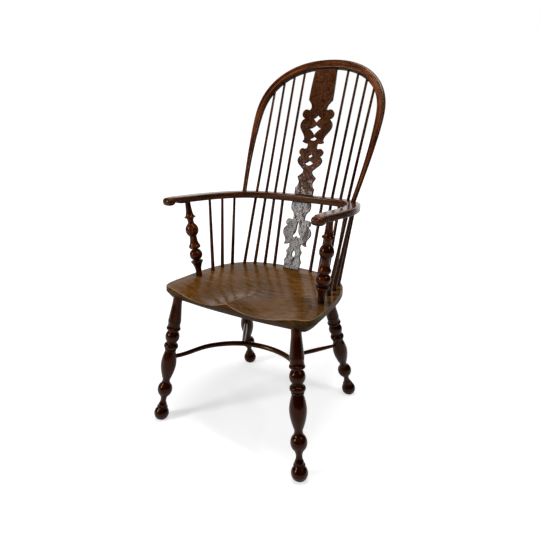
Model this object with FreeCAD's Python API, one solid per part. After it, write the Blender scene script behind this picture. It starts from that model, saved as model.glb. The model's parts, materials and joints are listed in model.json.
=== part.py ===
import FreeCAD, Part

import math
import os

from FreeCAD import Placement, Rotation, Vector

# Windsor armchair with a double bow back, in millimetres.
# Z is up, the chair faces -Y and its left and right halves mirror each other about X = 0.
# While it is built, Y = 0 lies over the tops of the front legs. The finished chair is then moved
# so that its box stands centred on the origin.

# Fits
FIT = 0.1
END_GAP = 0.2

# Seat: a saddled plank with a bevelled underside
SEAT_TOP = 442.0
SEAT_THICKNESS = 40.0
SEAT_EDGE = 17.0
SEAT_BEVEL = 18.0
SEAT_FRONT = -31.0
SEAT_BACK = 374.0
SEAT_HALF_WIDTH = 248.0
SEAT_CORNER = (SEAT_HALF_WIDTH - 10.0, SEAT_FRONT + 22.0)
# Share of the seat's depth, and how far the side there lies inside the half width
SEAT_SIDE = ((0.25, 0.0), (0.422, 3.0), (0.595, 12.0), (0.768, 34.0))
SADDLE_DEPTH = 20.0
SADDLE_HALF_WIDTH = SEAT_HALF_WIDTH - 30.0
SADDLE_BACK = SEAT_BACK - 56.0
POMMEL_LENGTH = 190.0

# Legs: four alike, raked out of sockets under the seat
LEG_TOP = 27.4
LEG_SWELL = 39.6
LEG_COLLAR = 37.4
LEG_RING = 43.6
LEG_BALL = 43.6
LEG_VASE = 47.6
LEG_KNOB = 46.0
LEG_ANKLE = 17.8
FOOT_BALL = 46.6
FOOT_WEAR = 1.0
LEG_SOCKET = 27.0
FRONT_LEG_TOP = (SEAT_HALF_WIDTH - 46.5, 0.0)
FRONT_LEG_FOOT = (FRONT_LEG_TOP[0] + 48.1, -45.7)
BACK_LEG_TOP = (SEAT_HALF_WIDTH - 86.2, SEAT_BACK - 84.2)
BACK_LEG_FOOT = (BACK_LEG_TOP[0] + 48.3, BACK_LEG_TOP[1] + 128.1)

# Stretcher: a bow from one front leg to the other, braced by a spur from each back leg
STRETCHER_HEIGHT = 212.0
STRETCHER_MIDDLE = 17.0
STRETCHER_END = 13.0
STRETCHER_BACK = 195.0
SPUR_END = 9.5
SPUR_MIDDLE = 14.0
SPUR_SPREAD = SEAT_HALF_WIDTH * 0.339

# Arm bow: level round the back, rising a little to scrolled hands
BOW_TOP = 687.5
BOW_THICKNESS = 23.5
BOW_WIDTH = 40.0
BOW_SLOPE = 0.046
BOW_BACK = 414.0
BOW_HALF_SPAN = SEAT_HALF_WIDTH - 8.0
HAND_TIP = 4.0
HAND_WIDTH = 32.0
HAND_THICKNESS = 18.5
HAND_LENGTH = 32.0
HAND_OUTER_ROUND = 13.0
HAND_INNER_ROUND = 9.0
HAND_ROLL = 12.0
HAND_DIP = 1.6
HAND_NOTCH = 11.5

# Arm posts
POST_BASE = (SEAT_HALF_WIDTH - 33.7, 118.6)
POST_TOP = (BOW_HALF_SPAN - 0.9, 99.1)
POST_FOOT = 18.6
POST_CUP = 38.0
POST_BALL = 41.0
POST_DISC = 37.0
POST_WAIST = 22.5
POST_HEAD = 16.0
POST_SEAT_SOCKET = 22.0
POST_BOW_SOCKET = 14.0

# Side spindles, from the seat up to the arm bow
SIDE_SPINDLE_BASE = 12.6
SIDE_SPINDLE_TOP = 8.6
SIDE_SPINDLE_PLACES = {
    "front": ((SEAT_HALF_WIDTH - 39.0, 183.0), (BOW_HALF_SPAN + 0.5, 211.0)),
    "middle": ((SEAT_HALF_WIDTH - 42.0, 231.0), (BOW_HALF_SPAN - 8.0, 269.0)),
    "rear": ((SEAT_HALF_WIDTH - 49.0, 280.0), (BOW_HALF_SPAN - 21.0, 322.0)),
}

# Hoop: the bent top bow, leaning back out of the arm bow
HOOP_FOOT = (BOW_HALF_SPAN - 38.6, BOW_BACK - 56.0)
HOOP_LEAN = 26.4
HOOP_HALF_WIDTH = BOW_HALF_SPAN - 15.0
HOOP_WIDEST = 285.0
HOOP_RISE = 482.0
HOOP_ARCH = 2.24
HOOP_WIDTH = 28.5
HOOP_CROWN = 33.0
HOOP_DEPTH = 24.0
HOOP_FOOT_WIDTH = 15.0
HOOP_GROOVE = 1.3
HOOP_SOCKET = 16.0
HOOP_TAPER = 0.36

# Back spindles, from the seat through the arm bow to the hoop. Each has its share of the seat's half
# width, how far it stands before the seat's back, and its shares of the bow's and the hoop's half widths
BACK_SPINDLE_BASE = 11.6
BACK_SPINDLE_BEND = 10.2
BACK_SPINDLE_TOP = 8.4
BACK_SPINDLE_PLACES = (
    (0.2782, 24.0, 0.3125, 0.3644),
    (0.4194, 31.0, 0.45, 0.5311),
    (0.5565, 43.0, 0.5833, 0.6867),
    (0.6855, 61.0, 0.7125, 0.8267),
)
SPINDLE_SEAT_SOCKET = 20.0
SPINDLE_BOW_SOCKET = 13.0
SPINDLE_HOOP_SOCKET = 10.0

# Splat: two fretted boards, the lower one from seat to arm bow, the upper one from there to the hoop
SPLAT_THICKNESS = 9.5
SPLAT_TONGUE = 9.0
SPLAT_SEAT_Y = SEAT_BACK - 24.0
SPLAT_HALF_WIDTH = 36.0
UPPER_SPLAT_HALF_WIDTH = 33.4
UPPER_SPLAT_TOP_HALF_WIDTH = 39.5
UPPER_SPLAT_BEHIND_BOW = 10.0
UPPER_SPLAT_BEHIND_HOOP = 4.5

SEAT_BOTTOM = SEAT_TOP - SEAT_THICKNESS
SIDES = {"left": -1, "right": 1}
FLOOR_SIZE = 1500.0


def closed_face(points):
    """Flat face inside one smooth closed curve through the points."""
    curve = Part.BSplineCurve()
    curve.interpolate(Points=points, PeriodicFlag=True)
    return Part.Face(Part.Wire(curve.toShape()))


def open_curve(points):
    """Edge through the points: a straight line for two, an arc for three, a smooth curve for more."""
    if len(points) == 2:
        return Part.LineSegment(points[0], points[1]).toShape()
    if len(points) == 3:
        return Part.Arc(*points).toShape()
    curve = Part.BSplineCurve()
    curve.interpolate(Points=points)
    return curve.toShape()


def turned(profile):
    """Solid turned about Z from runs of (height, diameter) pairs, each run one line, arc or curve."""
    edges = []
    bottom = Vector(0, 0, profile[0][0][0])
    last = bottom
    for run in profile:
        points = [Vector(diameter / 2, 0, height) for height, diameter in run]
        if last.distanceToPoint(points[0]) > FIT / 10:
            edges.append(open_curve([last, points[0]]))
        else:
            points[0] = last
        edges.append(open_curve(points))
        last = points[-1]
    top = Vector(0, 0, last.z)
    edges.append(open_curve([last, top]))
    edges.append(open_curve([top, bottom]))
    return Part.Face(Part.Wire(edges)).revolve(Vector(0, 0, 0), Vector(0, 0, 1), 360)


def stood(shape, foot, head):
    """The shape with its origin on foot and its Z axis towards head."""
    placed = shape.copy()
    placed.Placement = Placement(foot, Rotation(Vector(0, 0, 1), head - foot))
    return placed


def rod(start, end, diameter_start, diameter_end, extra_start=0.0, extra_end=0.0, grow=0.0):
    """Straight tapered rod that runs past both of its ends."""
    along = (end - start).normalize()
    first = start - along * extra_start
    last = end + along * extra_end
    length = first.distanceToPoint(last)
    slope = (diameter_end - diameter_start) / start.distanceToPoint(end)
    wide = diameter_start - slope * extra_start + 2 * grow
    narrow = diameter_end + slope * extra_end + 2 * grow
    if abs(wide - narrow) < FIT / 100:
        return stood(Part.makeCylinder(wide / 2, length), first, last)
    return stood(Part.makeCone(wide / 2, narrow / 2, length), first, last)


def section_wire(centre, across, over, width, depth, squareness, groove):
    """Closed section of a bent member: a rounded rectangle, hollowed a little along its front."""
    steps = 4
    edges = []
    for side in range(4):
        points = []
        for index in range(steps + 1):
            turn = math.pi / 2 * (side - 0.5 + index / steps)
            cosine = math.cos(turn)
            sine = math.sin(turn)
            out = math.copysign(abs(cosine) ** (2 / squareness), cosine) * width / 2
            rise = math.copysign(abs(sine) ** (2 / squareness), sine) * depth / 2
            if side == 1 and index == steps // 2:
                rise -= groove
            points.append(centre + across * out + over * rise)
        edges.append(open_curve(points))
    return Part.Wire(edges)


def bow_top(y):
    """Height of the upper face of the arm bow at a distance back along the chair."""
    return BOW_TOP + BOW_SLOPE * (BOW_BACK - y)


def bow_under(y):
    """Height of the underside of the arm bow, which thins towards the hands."""
    share = (BOW_BACK - y) / (BOW_BACK - HAND_TIP)
    return bow_top(y) - BOW_THICKNESS + (BOW_THICKNESS - HAND_THICKNESS) * share


def bow_centre_points():
    """Middle line of the arm bow in plan, from the left hand round the back to the right hand."""
    half = [
        Vector(BOW_HALF_SPAN + 2, HAND_TIP, 0),
        Vector(BOW_HALF_SPAN + 0.9, 40, 0),
        Vector(BOW_HALF_SPAN, 100, 0),
        Vector(BOW_HALF_SPAN + 1, 170, 0),
        Vector(BOW_HALF_SPAN - 3, 238, 0),
        Vector(BOW_HALF_SPAN - 15, 298, 0),
        Vector(HOOP_FOOT[0], HOOP_FOOT[1] - 1, 0),
        Vector(BOW_HALF_SPAN - 76, BOW_BACK - 21, 0),
        Vector(BOW_HALF_SPAN * 0.467, BOW_BACK - 6, 0),
        Vector(BOW_HALF_SPAN * 0.242, BOW_BACK - 1, 0),
    ]
    other = [Vector(-point.x, point.y, 0) for point in half]
    return other + [Vector(0, BOW_BACK, 0)] + half[::-1]


def bow_line():
    """Smooth middle line of the arm bow in plan."""
    line = Part.BSplineCurve()
    line.interpolate(Points=bow_centre_points())
    return line


def bow_y(x):
    """How far back the middle line of the arm bow lies at a distance from the mid-plane."""
    line = bow_line().toShape()
    cutter = Part.LineSegment(Vector(x, HOOP_FOOT[1] - 40, 0), Vector(x, BOW_BACK + 40, 0)).toShape()
    return line.distToShape(cutter)[1][0][0].y


def hoop_point(distance, out):
    """Point in the leaning plane of the hoop, by slope distance and offset from the mid-plane."""
    lean = math.radians(HOOP_LEAN)
    y = HOOP_FOOT[1] + distance * math.sin(lean)
    z = bow_top(HOOP_FOOT[1]) + distance * math.cos(lean)
    return Vector(out, y, z)


def hoop_half_width(distance):
    """Half width of the hoop's middle line at a slope distance above the arm bow."""
    if distance <= HOOP_WIDEST:
        swell = math.sin(math.pi / 2 * distance / HOOP_WIDEST)
        return HOOP_FOOT[0] + (HOOP_HALF_WIDTH - HOOP_FOOT[0]) * swell
    share = (distance - HOOP_WIDEST) / (HOOP_RISE - HOOP_WIDEST)
    return HOOP_HALF_WIDTH * max(0.0, 1 - share ** HOOP_ARCH) ** (1 / HOOP_ARCH)


def hoop_distance(out):
    """Slope distance of the hoop's arch at an offset from the mid-plane."""
    share = (1 - (abs(out) / HOOP_HALF_WIDTH) ** HOOP_ARCH) ** (1 / HOOP_ARCH)
    return HOOP_WIDEST + (HOOP_RISE - HOOP_WIDEST) * share


def hoop_line():
    """Middle line of the hoop, from the end of its left tenon over the top to that of its right one."""
    half = [hoop_point(-HOOP_SOCKET, hoop_half_width(-HOOP_SOCKET))]
    for step in range(5):
        distance = HOOP_WIDEST * step / 5
        half.append(hoop_point(distance, hoop_half_width(distance)))
    for step in range(6):
        turn = math.pi / 2 * step / 6
        distance = HOOP_WIDEST + (HOOP_RISE - HOOP_WIDEST) * math.sin(turn) ** (2 / HOOP_ARCH)
        half.append(hoop_point(distance, HOOP_HALF_WIDTH * math.cos(turn) ** (2 / HOOP_ARCH)))
    other = [Vector(-point.x, point.y, point.z) for point in half]
    curve = Part.BSplineCurve()
    curve.interpolate(Points=other + [hoop_point(HOOP_RISE, 0)] + half[::-1])
    return curve


def saddle_drop(x, y):
    """How far the seat is hollowed out below its rim at one place."""
    across = min(1.0, abs(x) / SADDLE_HALF_WIDTH)
    back = min(1.0, max(0.0, y / SADDLE_BACK))
    scoops = math.sin(math.pi * across ** 0.8) ** 1.3 if across < 1 else 0.0
    bowl = math.cos(math.pi / 2 * across) ** 1.5 if across < 1 else 0.0
    blend = min(1.0, max(0.0, (y - SEAT_FRONT) / POMMEL_LENGTH))
    blend = blend * blend * (3 - 2 * blend)
    fade = math.cos(math.pi / 2 * back) ** 0.9 if back < 1 else 0.0
    return SADDLE_DEPTH * fade * (scoops * (1 - blend) + 1.15 * bowl * blend)


def make_seat_blank():
    """Seat plank with its outline, bevelled underside and saddled top, before its sockets."""
    half = [
        Vector(SEAT_HALF_WIDTH * 0.444, SEAT_FRONT + 3, SEAT_BOTTOM),
        Vector(SEAT_HALF_WIDTH - 48, SEAT_FRONT + 11, SEAT_BOTTOM),
        Vector(SEAT_CORNER[0], SEAT_CORNER[1], SEAT_BOTTOM),
        Vector(SEAT_HALF_WIDTH - 1, SEAT_CORNER[1] + 23, SEAT_BOTTOM),
    ]
    for share, inset in SEAT_SIDE:
        y = SEAT_FRONT + (SEAT_BACK - SEAT_FRONT) * share
        half.append(Vector(SEAT_HALF_WIDTH - inset, y, SEAT_BOTTOM))
    half.append(Vector(SEAT_HALF_WIDTH - 77, SEAT_BACK - 42, SEAT_BOTTOM))
    half.append(Vector(SEAT_HALF_WIDTH * 0.411, SEAT_BACK - 11, SEAT_BOTTOM))
    other = [Vector(-point.x, point.y, point.z) for point in half]
    outline = [Vector(0, SEAT_FRONT, SEAT_BOTTOM)] + half + [Vector(0, SEAT_BACK, SEAT_BOTTOM)]
    plank = closed_face(outline + other[::-1]).extrude(Vector(0, 0, SEAT_THICKNESS + 10))
    lower = [edge for edge in plank.Edges if edge.BoundBox.ZMax < SEAT_BOTTOM + 1]
    plank = plank.makeChamfer(SEAT_THICKNESS - SEAT_EDGE, SEAT_BEVEL, lower)
    grid = []
    columns = 25
    rows = 15
    for row in range(rows):
        y = SEAT_FRONT - 10 + (SEAT_BACK - SEAT_FRONT + 20) * row / (rows - 1)
        line = []
        for column in range(columns):
            x = (SEAT_HALF_WIDTH + 10) * (2 * column / (columns - 1) - 1)
            line.append(Vector(x, y, SEAT_TOP - saddle_drop(x, y)))
        grid.append(line)
    surface = Part.BSplineSurface()
    surface.interpolate(grid)
    waste = surface.toShape().extrude(Vector(0, 0, 60))
    return plank.cut(waste)


def leg_profile(length, tilt):
    """Turned outline of a leg and its tenon, measured up from where its middle line meets the floor."""
    b = (FOOT_BALL / 2 - FOOT_WEAR) / math.cos(tilt)
    ball_top = 18.4
    ball_top_width = 2 * math.sqrt((FOOT_BALL / 2) ** 2 - ball_top ** 2)
    return [
        [(b - FOOT_BALL / 2, 0), (b, FOOT_BALL), (b + ball_top, ball_top_width)],
        [(b + 19, 29.5), (b + 21.6, 32.0), (b + 24.4, 29.5)],
        [(b + 24.4, 29.5), (b + 31, 25.5), (b + 39, 19.6), (b + 48, LEG_ANKLE), (b + 57, 21.4), (b + 66, 33.0)],
        [(b + 66, 33.0), (b + 84.5, LEG_KNOB), (b + 103, 31.0)],
        [(b + 103, 31.0), (b + 114, 23.2), (b + 125, 28.4)],
        [(b + 125, 28.4), (b + 148.5, 41.6), (b + 173.5, LEG_VASE), (b + 197, 41.6), (b + 217, 30.6)],
        [(b + 217, 33.6), (b + 219, 35.6), (b + 221, 33.6)],
        [(b + 222.4, 31.0), (b + 232, 44.0), (b + 241, 29.6)],
        [(b + 241, 29.6), (b + 243.4, 27.4), (b + 246, 30.0)],
        [(b + 246, 30.0), (b + 263, LEG_BALL), (b + 280, 31.0)],
        [(b + 280, 31.0), (b + 282.6, 29.4), (b + 285.4, 33.0)],
        [(b + 285.4, 34.0), (b + 290, LEG_RING), (b + 294.6, 36.0)],
        [(b + 295.6, 39.4), (b + 304.6, LEG_COLLAR), (b + 313.2, 39.2)],
        [(b + 313.8, 35.8), (b + 316, 35.8)],
        [(b + 316.6, LEG_SWELL), (b + 343, 34.2), (b + 372, 28.6)],
        [(b + 372, 28.6), (length + LEG_SOCKET, LEG_TOP)],
    ]


def leg_ends(top, foot, side):
    """Where a leg's middle line meets the floor and the underside of the seat."""
    return Vector(side * foot[0], foot[1], 0), Vector(side * top[0], top[1], SEAT_BOTTOM)


def make_leg(top, foot, side):
    """One turned leg with its round tenon, and the socket that it needs in the seat."""
    floor, under = leg_ends(top, foot, side)
    length = floor.distanceToPoint(under)
    tilt = math.acos(SEAT_BOTTOM / length)
    leg = stood(turned(leg_profile(length, tilt)), floor, under)
    ground = Part.makeBox(2 * FOOT_BALL, 2 * FOOT_BALL, FOOT_BALL,
                          floor - Vector(FOOT_BALL, FOOT_BALL, FOOT_BALL))
    socket = rod(floor, under, LEG_TOP + 0.6, LEG_TOP, 0.0, LEG_SOCKET + END_GAP, FIT)
    return leg.cut(ground), socket


def leg_axis_at(top, foot, side, height):
    """Point on a leg's middle line at a height above the floor."""
    floor, under = leg_ends(top, foot, side)
    return floor + (under - floor) * (height / SEAT_BOTTOM)


def stretcher_points():
    """Places along the middle of the bowed stretcher, from its left socket to its right one."""
    end = leg_axis_at(FRONT_LEG_TOP, FRONT_LEG_FOOT, 1, STRETCHER_HEIGHT)
    half = [
        Vector(end.x - 4, end.y + 6, end.z),
        Vector(end.x - 19, end.y + 30, end.z),
        Vector(end.x * 0.78, STRETCHER_BACK - 103, end.z),
        Vector(end.x * 0.642, STRETCHER_BACK - 61, end.z),
        Vector(SPUR_SPREAD, STRETCHER_BACK - 17, end.z),
    ]
    other = [Vector(-point.x, point.y, point.z) for point in half]
    return other + [Vector(0, STRETCHER_BACK, end.z)] + half[::-1]


def make_stretcher_bow(grow=0.0):
    """Bent round rail that is a little thinner where its ends enter the front legs."""
    line = Part.BSplineCurve()
    line.interpolate(Points=stretcher_points())
    wires = []
    count = 12
    total = line.length()
    for step in range(count + 1):
        place = line.parameterAtDistance(total * step / count, line.FirstParameter)
        tangent = Vector(*line.tangent(place)[0])
        thick = STRETCHER_END + (STRETCHER_MIDDLE - STRETCHER_END) * math.sin(math.pi * step / count)
        across = tangent.cross(Vector(0, 0, 1)).normalize()
        size = thick + 2 * grow
        wires.append(section_wire(line.value(place), across, Vector(0, 0, 1), size, size, 2, 0))
    return Part.makeLoft(wires, True, False)


def make_spur(side, grow=0.0):
    """Turned brace from a back leg forward to the bowed stretcher, thickest in its middle."""
    leg = leg_axis_at(BACK_LEG_TOP, BACK_LEG_FOOT, side, STRETCHER_HEIGHT - 4)
    bow = Vector(side * SPUR_SPREAD, STRETCHER_BACK - 17, STRETCHER_HEIGHT)
    length = leg.distanceToPoint(bow)
    profile = [[
        (3, SPUR_END + 2 * grow),
        (length * 0.2, SPUR_END + 1.6 + 2 * grow),
        (length * 0.5, SPUR_MIDDLE + 2 * grow),
        (length * 0.8, SPUR_END + 1.6 + 2 * grow),
        (length - 2, SPUR_END + 2 * grow),
    ]]
    return stood(turned(profile), leg, bow)


def post_profile(length):
    """Turned outline of an arm post, measured up from the seat."""
    return [
        [(-POST_SEAT_SOCKET, POST_FOOT), (0, POST_FOOT)],
        [(0, POST_FOOT), (22, 20.0), (38, 28.0), (47, POST_CUP)],
        [(47, POST_CUP), (49, POST_CUP + 0.8), (51, POST_CUP - 1.0)],
        [(53, 18.0), (55.5, 17.0)],
        [(55.5, 22.0), (62, 36.0), (71, POST_BALL), (80, 36.5), (87.5, 23.0)],
        [(87.5, 19.0), (93, 18.6)],
        [(93, 31.0), (95, 35.6), (98, POST_DISC), (100.5, 36.6)],
        [(100.5, 36.6), (106, 30.6), (118, 24.0), (130, POST_WAIST), (134, POST_WAIST)],
        [(134, 24.0), (142, 36.4), (152, POST_BALL), (162, 36.8), (172, 23.0)],
        [(172, 21.0), (180, 18.6), (188, 21.0)],
        [(188, 21.0), (192, 30.0), (194, POST_DISC - 1), (195, POST_DISC - 1)],
        [(195, POST_DISC - 1), (198.5, 27.0), (205, 22.5), (218, 19.0), (length, POST_HEAD)],
        [(length, POST_HEAD), (length + POST_BOW_SOCKET, POST_HEAD)],
    ]


def post_ends(side):
    """Where an arm post's middle line meets the seat and the underside of the arm bow."""
    base = Vector(side * POST_BASE[0], POST_BASE[1], SEAT_TOP - saddle_drop(POST_BASE[0], POST_BASE[1]))
    return base, Vector(side * POST_TOP[0], POST_TOP[1], bow_under(POST_TOP[1]))


def make_post(side):
    """One turned arm post, and the round tool that cuts both of its sockets."""
    base, top = post_ends(side)
    length = base.distanceToPoint(top)
    post = stood(turned(post_profile(length)), base, top)
    low = rod(base, top, POST_FOOT, POST_FOOT, POST_SEAT_SOCKET + END_GAP, 0.0, FIT)
    high = rod(base, top, POST_HEAD, POST_HEAD, 0.0, POST_BOW_SOCKET + END_GAP, FIT)
    return post, low, high


def make_side_spindle(side, place, grow=0.0):
    """One plain tapered spindle from the seat to the underside of the arm bow."""
    (base_x, base_y), (top_x, top_y) = SIDE_SPINDLE_PLACES[place]
    base = Vector(side * base_x, base_y, SEAT_TOP)
    top = Vector(side * top_x, top_y, bow_under(top_y))
    extra = END_GAP if grow else 0.0
    return rod(base, top, SIDE_SPINDLE_BASE, SIDE_SPINDLE_TOP,
               SPINDLE_SEAT_SOCKET + extra, SPINDLE_BOW_SOCKET + extra, grow)


def make_back_spindle(side, places, grow=0.0):
    """One long spindle, sprung to a slight bend inside the arm bow that it passes through."""
    seat_share, before_back, bow_share, hoop_share = places
    base = Vector(side * SEAT_HALF_WIDTH * seat_share, SEAT_BACK - before_back, SEAT_TOP)
    bow_x = BOW_HALF_SPAN * bow_share
    y = bow_y(bow_x)
    middle = Vector(side * bow_x, y, (bow_under(y) + bow_top(y)) / 2)
    hoop_x = HOOP_HALF_WIDTH * hoop_share
    top = hoop_point(hoop_distance(hoop_x), side * hoop_x)
    extra = END_GAP if grow else 0.0
    reach = SPINDLE_HOOP_SOCKET - HOOP_WIDTH / 2 + extra
    low = rod(base, middle, BACK_SPINDLE_BASE, BACK_SPINDLE_BEND, SPINDLE_SEAT_SOCKET + extra, 0.0, grow)
    high = rod(middle, top, BACK_SPINDLE_BEND, BACK_SPINDLE_TOP, 0.0, reach, grow)
    knee = Part.makeSphere(BACK_SPINDLE_BEND / 2 + grow, middle)
    return low.fuse([knee, high])


def make_hoop_blank():
    """Bent hoop, hollowed along its front and thickest at its crown, with a round tenon at each foot."""
    line = hoop_line()
    lean = math.radians(HOOP_LEAN)
    front = Vector(0, -math.cos(lean), math.sin(lean))
    wires = []
    count = 24
    total = line.length()
    for step in range(count + 1):
        place = line.parameterAtDistance(total * step / count, line.FirstParameter)
        across = front.cross(Vector(*line.tangent(place)[0])).normalize()
        along = max(0.0, min(step, count - step) / count - HOOP_SOCKET / total)
        ease = min(1.0, along / HOOP_TAPER)
        ease = ease * ease * (3 - 2 * ease)
        width = HOOP_FOOT_WIDTH + (HOOP_WIDTH - HOOP_FOOT_WIDTH) * ease
        width += (HOOP_CROWN - HOOP_WIDTH) * (2 * along) ** 3
        depth = HOOP_FOOT_WIDTH + (HOOP_DEPTH - HOOP_FOOT_WIDTH) * ease
        wires.append(section_wire(line.value(place), across, front, width, depth, 2 + 1.4 * ease, HOOP_GROOVE * ease))
    return Part.makeLoft(wires, True, False)


def hoop_socket(side):
    """Tool for the round socket in the arm bow that takes one foot of the hoop."""
    line = hoop_line()
    place = line.FirstParameter if side < 0 else line.LastParameter
    end = line.value(place)
    up = Vector(*line.tangent(place)[0]) * -side
    return rod(end, end + up * HOOP_SOCKET, HOOP_FOOT_WIDTH, HOOP_FOOT_WIDTH,
               END_GAP, HOOP_FOOT_WIDTH / 2, FIT)


def make_bow_blank():
    """Arm bow: its plan sawn from a band and its side sawn to the scrolled hands."""
    line = bow_line()
    outer = []
    inner = []
    count = 18
    total = line.length()
    for step in range(count + 1):
        place = line.parameterAtDistance(total * step / count, line.FirstParameter)
        point = line.value(place)
        away = Vector(*line.tangent(place)[0]).cross(Vector(0, 0, -1)).normalize()
        share = min(1.0, max(0.0, (point.y - HAND_TIP) / POST_TOP[1]))
        half = (HAND_WIDTH + (BOW_WIDTH - HAND_WIDTH) * share) / 2
        outer.append(point - away * half)
        inner.append(point + away * half)
    edges = [open_curve(outer), open_curve([outer[-1], inner[-1]]), open_curve(inner[::-1]),
             open_curve([inner[0], outer[0]])]
    plan = Part.Face(Part.Wire(edges))
    plan.translate(Vector(0, 0, BOW_TOP - 80))
    band = plan.extrude(Vector(0, 0, 160))
    for radius, side in ((HAND_OUTER_ROUND, 1), (HAND_INNER_ROUND, -1)):
        corners = [edge for edge in band.Edges if edge.BoundBox.ZLength > 150 and edge.BoundBox.YMax < HAND_TIP + 5]
        chosen = [edge for edge in corners if side * (abs(edge.BoundBox.Center.x) - BOW_HALF_SPAN) > 0]
        band = band.makeFillet(radius, chosen)

    notch_y = HAND_TIP + HAND_LENGTH
    back = BOW_BACK + BOW_WIDTH

    def above(y, rise):
        return Vector(-FLOOR_SIZE / 2, y, bow_under(y) + rise)

    def below(y, drop):
        return Vector(-FLOOR_SIZE / 2, y, bow_top(y) - drop)

    slant = HAND_ROLL * (1 - math.sqrt(0.5))
    roll = [
        above(notch_y, HAND_NOTCH),
        above(notch_y - 3.5, HAND_NOTCH - 6.0),
        above(notch_y - 8.5, -HAND_NOTCH * 0.4),
        below(HAND_TIP + 1.6 * HAND_ROLL, HAND_DIP + 2 * HAND_ROLL),
        below(HAND_TIP + HAND_ROLL, HAND_DIP + 2 * HAND_ROLL),
        below(HAND_TIP + slant, HAND_DIP + 2 * HAND_ROLL - slant),
        below(HAND_TIP, HAND_DIP + HAND_ROLL),
        below(HAND_TIP + slant, HAND_DIP + slant),
        below(HAND_TIP + HAND_ROLL, HAND_DIP),
        below(HAND_TIP + 24, HAND_DIP * 0.45),
        below(HAND_TIP + 38, HAND_DIP * 0.15),
        below(HAND_TIP + 54, 0),
    ]
    lobe = [
        above(POST_TOP[1] - 6, 0),
        above(notch_y + 26, -1.8),
        above(notch_y + 11, 0.4),
        above(notch_y + 3, HAND_NOTCH * 0.52),
        above(notch_y, HAND_NOTCH),
    ]
    edges = [
        open_curve(roll),
        open_curve([roll[-1], below(back, 0)]),
        open_curve([below(back, 0), above(back, 0)]),
        open_curve([above(back, 0), lobe[0]]),
        open_curve(lobe),
    ]
    side = Part.Face(Part.Wire(edges)).extrude(Vector(FLOOR_SIZE, 0, 0))
    return band.common(side)


def mirrored_outline(runs):
    """Closed wire from runs of (half width, height) pairs up one side, mirrored on the other."""
    edges = []
    for sign in (1, -1):
        for run in runs:
            edges.append(open_curve([Vector(sign * out, up, 0) for out, up in run]))
    if runs[0][0][0] > 0:
        low = runs[0][0]
        edges.append(open_curve([Vector(-low[0], low[1], 0), Vector(low[0], low[1], 0)]))
    if runs[-1][-1][0] > 0:
        high = runs[-1][-1]
        edges.append(open_curve([Vector(-high[0], high[1], 0), Vector(high[0], high[1], 0)]))
    return Part.Wire(Part.__sortEdges__(edges))


def fret(outline, piercings):
    """Board of the splat's thickness, sawn to its outline and pierced, centred on its middle plane."""
    board = Part.Face(mirrored_outline(outline)).extrude(Vector(0, 0, SPLAT_THICKNESS))
    for piercing in piercings:
        hole = Part.Face(mirrored_outline(piercing)).extrude(Vector(0, 0, SPLAT_THICKNESS + 2))
        hole.translate(Vector(0, 0, -1))
        board = board.cut(hole)
    board.translate(Vector(0, 0, -SPLAT_THICKNESS / 2))
    return board


def leaned(board, foot, head):
    """The board stood up from foot to head, facing forward."""
    angle = math.degrees(math.atan2(head.z - foot.z, head.y - foot.y))
    placed = board.copy()
    placed.Placement = Placement(foot, Rotation(Vector(1, 0, 0), angle))
    return placed


def splat_ends():
    """Middle points of the splat at the seat, under and over the arm bow, and under the hoop."""
    seat = Vector(0, SPLAT_SEAT_Y, SEAT_TOP)
    under = Vector(0, BOW_BACK, bow_under(BOW_BACK))
    over_y = BOW_BACK + UPPER_SPLAT_BEHIND_BOW
    over = Vector(0, over_y, bow_top(over_y))
    lean = math.radians(HOOP_LEAN)
    behind = Vector(0, math.cos(lean), -math.sin(lean)) * UPPER_SPLAT_BEHIND_HOOP
    return seat, under, over, hoop_point(HOOP_RISE - HOOP_CROWN / 2, 0) + behind


def tongue(foot, head, start, length, width, grow=0.0):
    """Plain tongue of a splat, or with grow the mortise round it."""
    block = Part.makeBox(2 * width + 2 * grow, length, SPLAT_THICKNESS + 2 * grow,
                         Vector(-width - grow, start, -SPLAT_THICKNESS / 2 - grow))
    return leaned(block, foot, head)


def make_lower_splat():
    """Lower fretted board, with a leaf-like lobe each side, a keyhole and a pointed oval."""
    seat, under, _, _ = splat_ends()
    length = seat.distanceToPoint(under)
    w = SPLAT_HALF_WIDTH
    outline = [
        [(w - 5, 0), (w - 7.4, 12), (w - 3.4, 26)],
        [(w - 3.4, 26), (w - 10, 36), (w - 11.5, 45), (w - 7, 58)],
        [(w - 7, 58), (w - 14, 69), (w - 16.4, 79), (w - 12.4, 87)],
        [(w - 12.4, 87), (w - 3, 81), (w + 8, 79.6)],
        [(w + 8, 79.6), (w + 3.4, 88), (w + 5, 101), (w + 13, 113), (w + 16, 126), (w + 11, 138),
         (w + 2.6, 145.5)],
        [(w + 2.6, 145.5), (w + 8.4, 150.5), (w + 9.6, 159), (w + 4, 167.5), (w - 5.4, 169), (w - 13, 166)],
        [(w - 13, 166), (w - 15.4, 176), (w - 12.6, 189), (w - 3, 200)],
        [(w - 3, 200), (w - 0.6, 208), (w - 3.2, length)],
    ]
    keyhole = [
        [(2.6, 158), (4.2, 142), (5.6, 129), (16.4, 112)],
        [(16.4, 112), (9, 107), (0, 112)],
    ]
    keyhole[0].insert(0, (0, 164))
    oval = [[(0, 36), (5, 43), (6.8, 51), (4.4, 58), (0, 66)]]
    board = leaned(fret(outline, [keyhole, oval]), seat, under)
    low = tongue(seat, under, -SPLAT_TONGUE, SPLAT_TONGUE + 0.5, w - 5)
    high = tongue(seat, under, length - 0.5, SPLAT_TONGUE + 0.5, w - 3.2)
    return board.fuse([low, high]).removeSplitter()


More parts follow.
